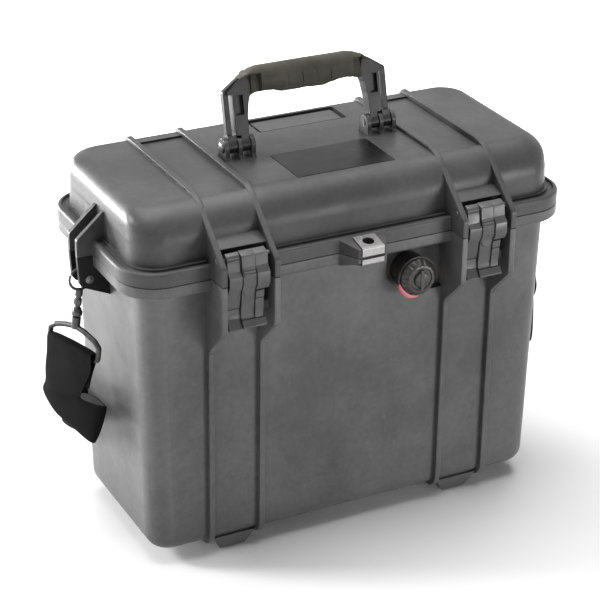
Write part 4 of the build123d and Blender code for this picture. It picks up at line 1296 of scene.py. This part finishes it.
# --------------------------------------------------------------------------- foam
@dataclass
class Foam:
    """Foam inserts: a cut block in the base and a waved pad in the lid.

    Attributes:
        wave: Depth of the lid pad's waves.
        pitch: Distance between the waves.
        step: Size of the lid pad's mesh cells.
        side: Thickness of the base block's sides.
        floor: Thickness of the base block's floor.
        soft: Rounding of its upper edges.
        taper: How much the base block narrows towards its foot.
        lid_inset: Gap between the lid pad and its CAD block.
        lid_round: Radius of the lid pad's corners.
        lid_thick: Thickness of the lid pad.
    """

    wave: float = 5.0
    pitch: float = 24.0
    step: float = 3.0
    side: float = 15.5
    floor: float = 20.0
    soft: float = 4.0
    taper: float = 6.0
    lid_inset: float = 4.5
    lid_round: float = 26.0
    lid_thick: float = 11.0

    def build(self, book: FinishBook) -> None:
        """Makes both inserts.

        Args:
            book: The finishes.
        """
        self._base(book)
        self._lid(book)

    def _base(self, book: FinishBook) -> None:
        """Makes the base insert, a block with soft edges round the laptop's space.

        Args:
            book: The finishes.
        """
        low, high = (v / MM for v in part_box("base_foam"))
        middle_y = (low.y + high.y) / 2
        half_x, half_y = (high.x - low.x) / 2, (high.y - low.y) / 2
        taper = self.taper

        def ring(inset: float, z: float, radius: float, lean: float) -> list[Point3]:
            """One level of the block.

            Args:
                inset: Distance from its CAD side.
                z: Height.
                radius: Radius of the corners.
                lean: How much it narrows at the foot.

            Returns:
                The points.
            """
            shrink = lean * (high.z - z) / (high.z - low.z)
            x, y = half_x - inset - shrink, half_y - inset - shrink
            points = []
            corners = ((1, 1, 0.0), (-1, 1, 90.0), (-1, -1, 180.0), (1, -1, 270.0))
            for sx, sy, start in corners:
                centre = (sx * (x - radius), sy * (y - radius))
                points += arc(centre, radius, start, start + 90.0, 9)
            return [(px, middle_y + py, z) for px, py in points]

        rings = [ring(6.0, low.z + 0.5, 12.0, taper), ring(1.0, low.z + 4.0, 16.0, taper)]
        steps = 6
        for k in range(steps + 1):
            turn = math.pi / 2 * k / steps
            fall = self.soft * (1 - math.sin(turn))
            rings.append(ring(0.6 + self.soft * (1 - math.cos(turn)), high.z - fall, 16.0, taper))
        for k in range(steps + 1):
            turn = math.pi / 2 * k / steps
            inset = self.side - self.soft * (1 - math.sin(turn))
            rings.append(ring(inset, high.z - self.soft * (1 - math.cos(turn)), 10.0, 0.0))
        floor = low.z + self.floor
        rings.append(ring(self.side + taper, floor + 4.0, 9.0, 0.0))
        rings.append(ring(self.side + taper + 4.0, floor, 8.0, 0.0))
        mesh = Mesh()
        mesh.loft(rings)
        obj = mesh.build("base_foam_block", book.get(FOAM), 50.0)
        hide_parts("base_foam")
        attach(obj, "base")
        LOG.info("base foam block: %d rings", len(rings))

    def _lid(self, book: FinishBook) -> None:
        """Makes the lid pad, waved on its lower face.

        Args:
            book: The finishes.
        """
        low, high = (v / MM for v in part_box("lid_foam"))
        inset, radius = self.lid_inset, self.lid_round
        x0, x1 = low.x + inset, high.x - inset
        y0, y1 = low.y + inset, high.y - inset
        columns = int((x1 - x0) / self.step)
        rows = int((y1 - y0) / self.step)

        def place(i: int, j: int) -> Point2:
            """Place of a mesh point, pulled in at the rounded corners.

            Args:
                i: Column.
                j: Row.

            Returns:
                The place.
            """
            x, y = x0 + (x1 - x0) * i / columns, y0 + (y1 - y0) * j / rows
            cx = min(max(x, x0 + radius), x1 - radius)
            cy = min(max(y, y0 + radius), y1 - radius)
            away = math.hypot(x - cx, y - cy)
            if away > radius:
                x, y = cx + (x - cx) * radius / away, cy + (y - cy) * radius / away
            return x, y

        def height(x: float, y: float) -> float:
            """Height of the waved face.

            Args:
                x: Place along the case.
                y: Place across it.

            Returns:
                The height.
            """
            wave = math.sin(2 * math.pi * x / self.pitch) * math.sin(2 * math.pi * y / self.pitch)
            edge = min(x - x0, x1 - x, y - y0, y1 - y)
            return low.z + 0.4 + self.wave * (0.5 + 0.5 * wave) * min(1.0, max(0.0, edge / 8.0))

        verts, faces = [], []
        for j in range(rows + 1):
            for i in range(columns + 1):
                x, y = place(i, j)
                verts.append((x, y, height(x, y)))
        for j in range(rows):
            for i in range(columns):
                a = j * (columns + 1) + i
                faces.append((a, a + columns + 1, a + columns + 2, a + 1))
        mesh = Mesh()
        mesh.add(verts, faces)
        obj = mesh.build("lid_foam_pad", book.get(FOAM), 60.0)
        thick = obj.modifiers.new("thick", "SOLIDIFY")
        thick.thickness = self.lid_thick * MM
        thick.offset = -1.0
        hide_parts("lid_foam")
        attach(obj, "lid")
        LOG.info("lid foam pad: %d by %d cells", columns, rows)


# --------------------------------------------------------------------------- studio
@dataclass(frozen=True)
class CameraSetup:
    """Camera of the main picture.

    Attributes:
        place: Position in metres.
        azimuth: Degrees from the front, towards the left side negative.
        elevation: Degrees above the horizon.
        roll: Degrees.
        lens: Focal length in millimetres on a 36 mm sensor.
        shift: Sensor shift.
    """

    place: Point3 = (-0.7282, -1.41322, 0.95382)
    azimuth: float = -26.82
    elevation: float = 25.74
    roll: float = 0.51
    lens: float = 125.95
    shift: Point2 = (0.00657, -0.02298)


@dataclass(frozen=True)
class Lamp:
    """One soft lamp.

    Attributes:
        name: Its name.
        place: Position in metres.
        target: Point it faces.
        size: Width and height in metres.
        power: Watts.
    """

    name: str
    place: Point3
    target: Point3
    size: Point2
    power: float


KEY = Lamp("key", (-2.1, 1.15, 1.5), (0.0, 0.0, 0.2), (0.6, 0.6), 56.0)
SIDE = Lamp("side", (-1.1, 1.75, 0.2), (-0.2, 0.0, 0.1), (1.3, 0.38), 84.0)
TOP = Lamp("top", (0.1, 0.3, 2.3), (0.0, 0.0, 0.0), (2.0, 2.0), 68.0)
FRONT = Lamp("front", (0.8, -1.3, 0.16), (0.08, 0.0, 0.2), (0.5, 0.3), 10.0)
AMBIENT = 0.1
FLOOR_SIZE = 12.0
FLOOR_DROP = 0.0005
FLOOR_TONE = 0.92
FLOOR_ROUGH = 0.9
FLOOR_FADE = (0.35, 0.9)


class Studio:
    """Floor, lights and camera."""

    def __init__(self, setup: CameraSetup = CameraSetup()) -> None:
        """Keeps the camera's setup."""
        self.setup = setup

    def build(self) -> None:
        """Makes the whole studio."""
        self._world()
        self._floor()
        for lamp in (KEY, SIDE, TOP, FRONT):
            self._lamp(lamp)
        self._camera()

    def _world(self) -> None:
        """Plain soft surroundings, white where the camera sees them."""
        world = bpy.data.worlds.new("studio")
        bpy.context.scene.world = world
        nodes = Nodes(world)
        background = nodes.tree.nodes["Background"]
        background.inputs["Color"].default_value = (1.0, 1.0, 1.0, 1.0)
        strength = nodes.remap(nodes.background_rays(), (0.0, 1.0), (AMBIENT, 1.0))
        nodes.link(strength, background.inputs["Strength"])

    def _floor(self) -> None:
        """Plain pale floor."""
        bpy.ops.mesh.primitive_plane_add(size=FLOOR_SIZE, location=(0.0, 0.0, -FLOOR_DROP))
        floor = bpy.context.object
        floor.name = "floor"
        material = bpy.data.materials.new("floor_paper")
        nodes = Nodes(material)
        shader = nodes.shader
        nodes.put(shader, Base_Color=(FLOOR_TONE, FLOOR_TONE, FLOOR_TONE, 1.0), Roughness=FLOOR_ROUGH)
        length = nodes.make("VectorMath")
        length.operation = "LENGTH"
        nodes.link(nodes.coords.outputs["Object"], length.inputs[0])
        far = nodes.remap(length.outputs["Value"], FLOOR_FADE, (0.0, 1.0))
        shader.inputs["Emission Color"].default_value = (1.0, 1.0, 1.0, 1.0)
        nodes.link(nodes.math("MULTIPLY", far, nodes.background_rays()), shader.inputs["Emission Strength"])
        floor.data.materials.append(material)

    def _lamp(self, lamp: Lamp) -> None:
        """Makes one lamp.

        Args:
            lamp: Its sizes and place.
        """
        data = bpy.data.lights.new(lamp.name, "AREA")
        data.shape = "RECTANGLE"
        data.size, data.size_y = lamp.size
        data.energy = lamp.power
        obj = bpy.data.objects.new(lamp.name, data)
        bpy.context.collection.objects.link(obj)
        obj.location = lamp.place
        obj.rotation_euler = (Vector(lamp.target) - Vector(lamp.place)).to_track_quat("-Z", "Y").to_euler()
        obj.visible_camera = False
        LOG.info("lamp %s: %.0f W", lamp.name, lamp.power)

    def _camera(self) -> None:
        """Places the camera."""
        s = self.setup
        az, el = math.radians(s.azimuth), math.radians(s.elevation)
        back = Vector((math.sin(az) * math.cos(el), -math.cos(az) * math.cos(el), math.sin(el)))
        data = bpy.data.cameras.new("camera")
        data.sensor_width = 36.0
        data.lens = s.lens
        data.shift_x, data.shift_y = s.shift
        data.clip_start, data.clip_end = 0.05, 30.0
        camera = bpy.data.objects.new("camera", data)
        bpy.context.collection.objects.link(camera)
        turn = (-back).to_track_quat("-Z", "Y").to_matrix() @ Matrix.Rotation(math.radians(s.roll), 3, "Z")
        camera.matrix_world = Matrix.Translation(s.place) @ turn.to_4x4()
        bpy.context.scene.camera = camera


def main() -> None:
    """Builds the whole scene."""
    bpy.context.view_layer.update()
    book = FinishBook()
    Frame(book).dress()
    Grip().build(book)
    Rivets().build(book)
    for name in SIDES:
        Latch().build(book, name)
        SnapHook().build(book, name)
        Webbing().build(book, name)
    Valve().build(book)
    Foam().build(book)
    Studio().build()
    bpy.context.scene.view_settings.view_transform = "Standard"


if __name__ == "__main__":
    main()
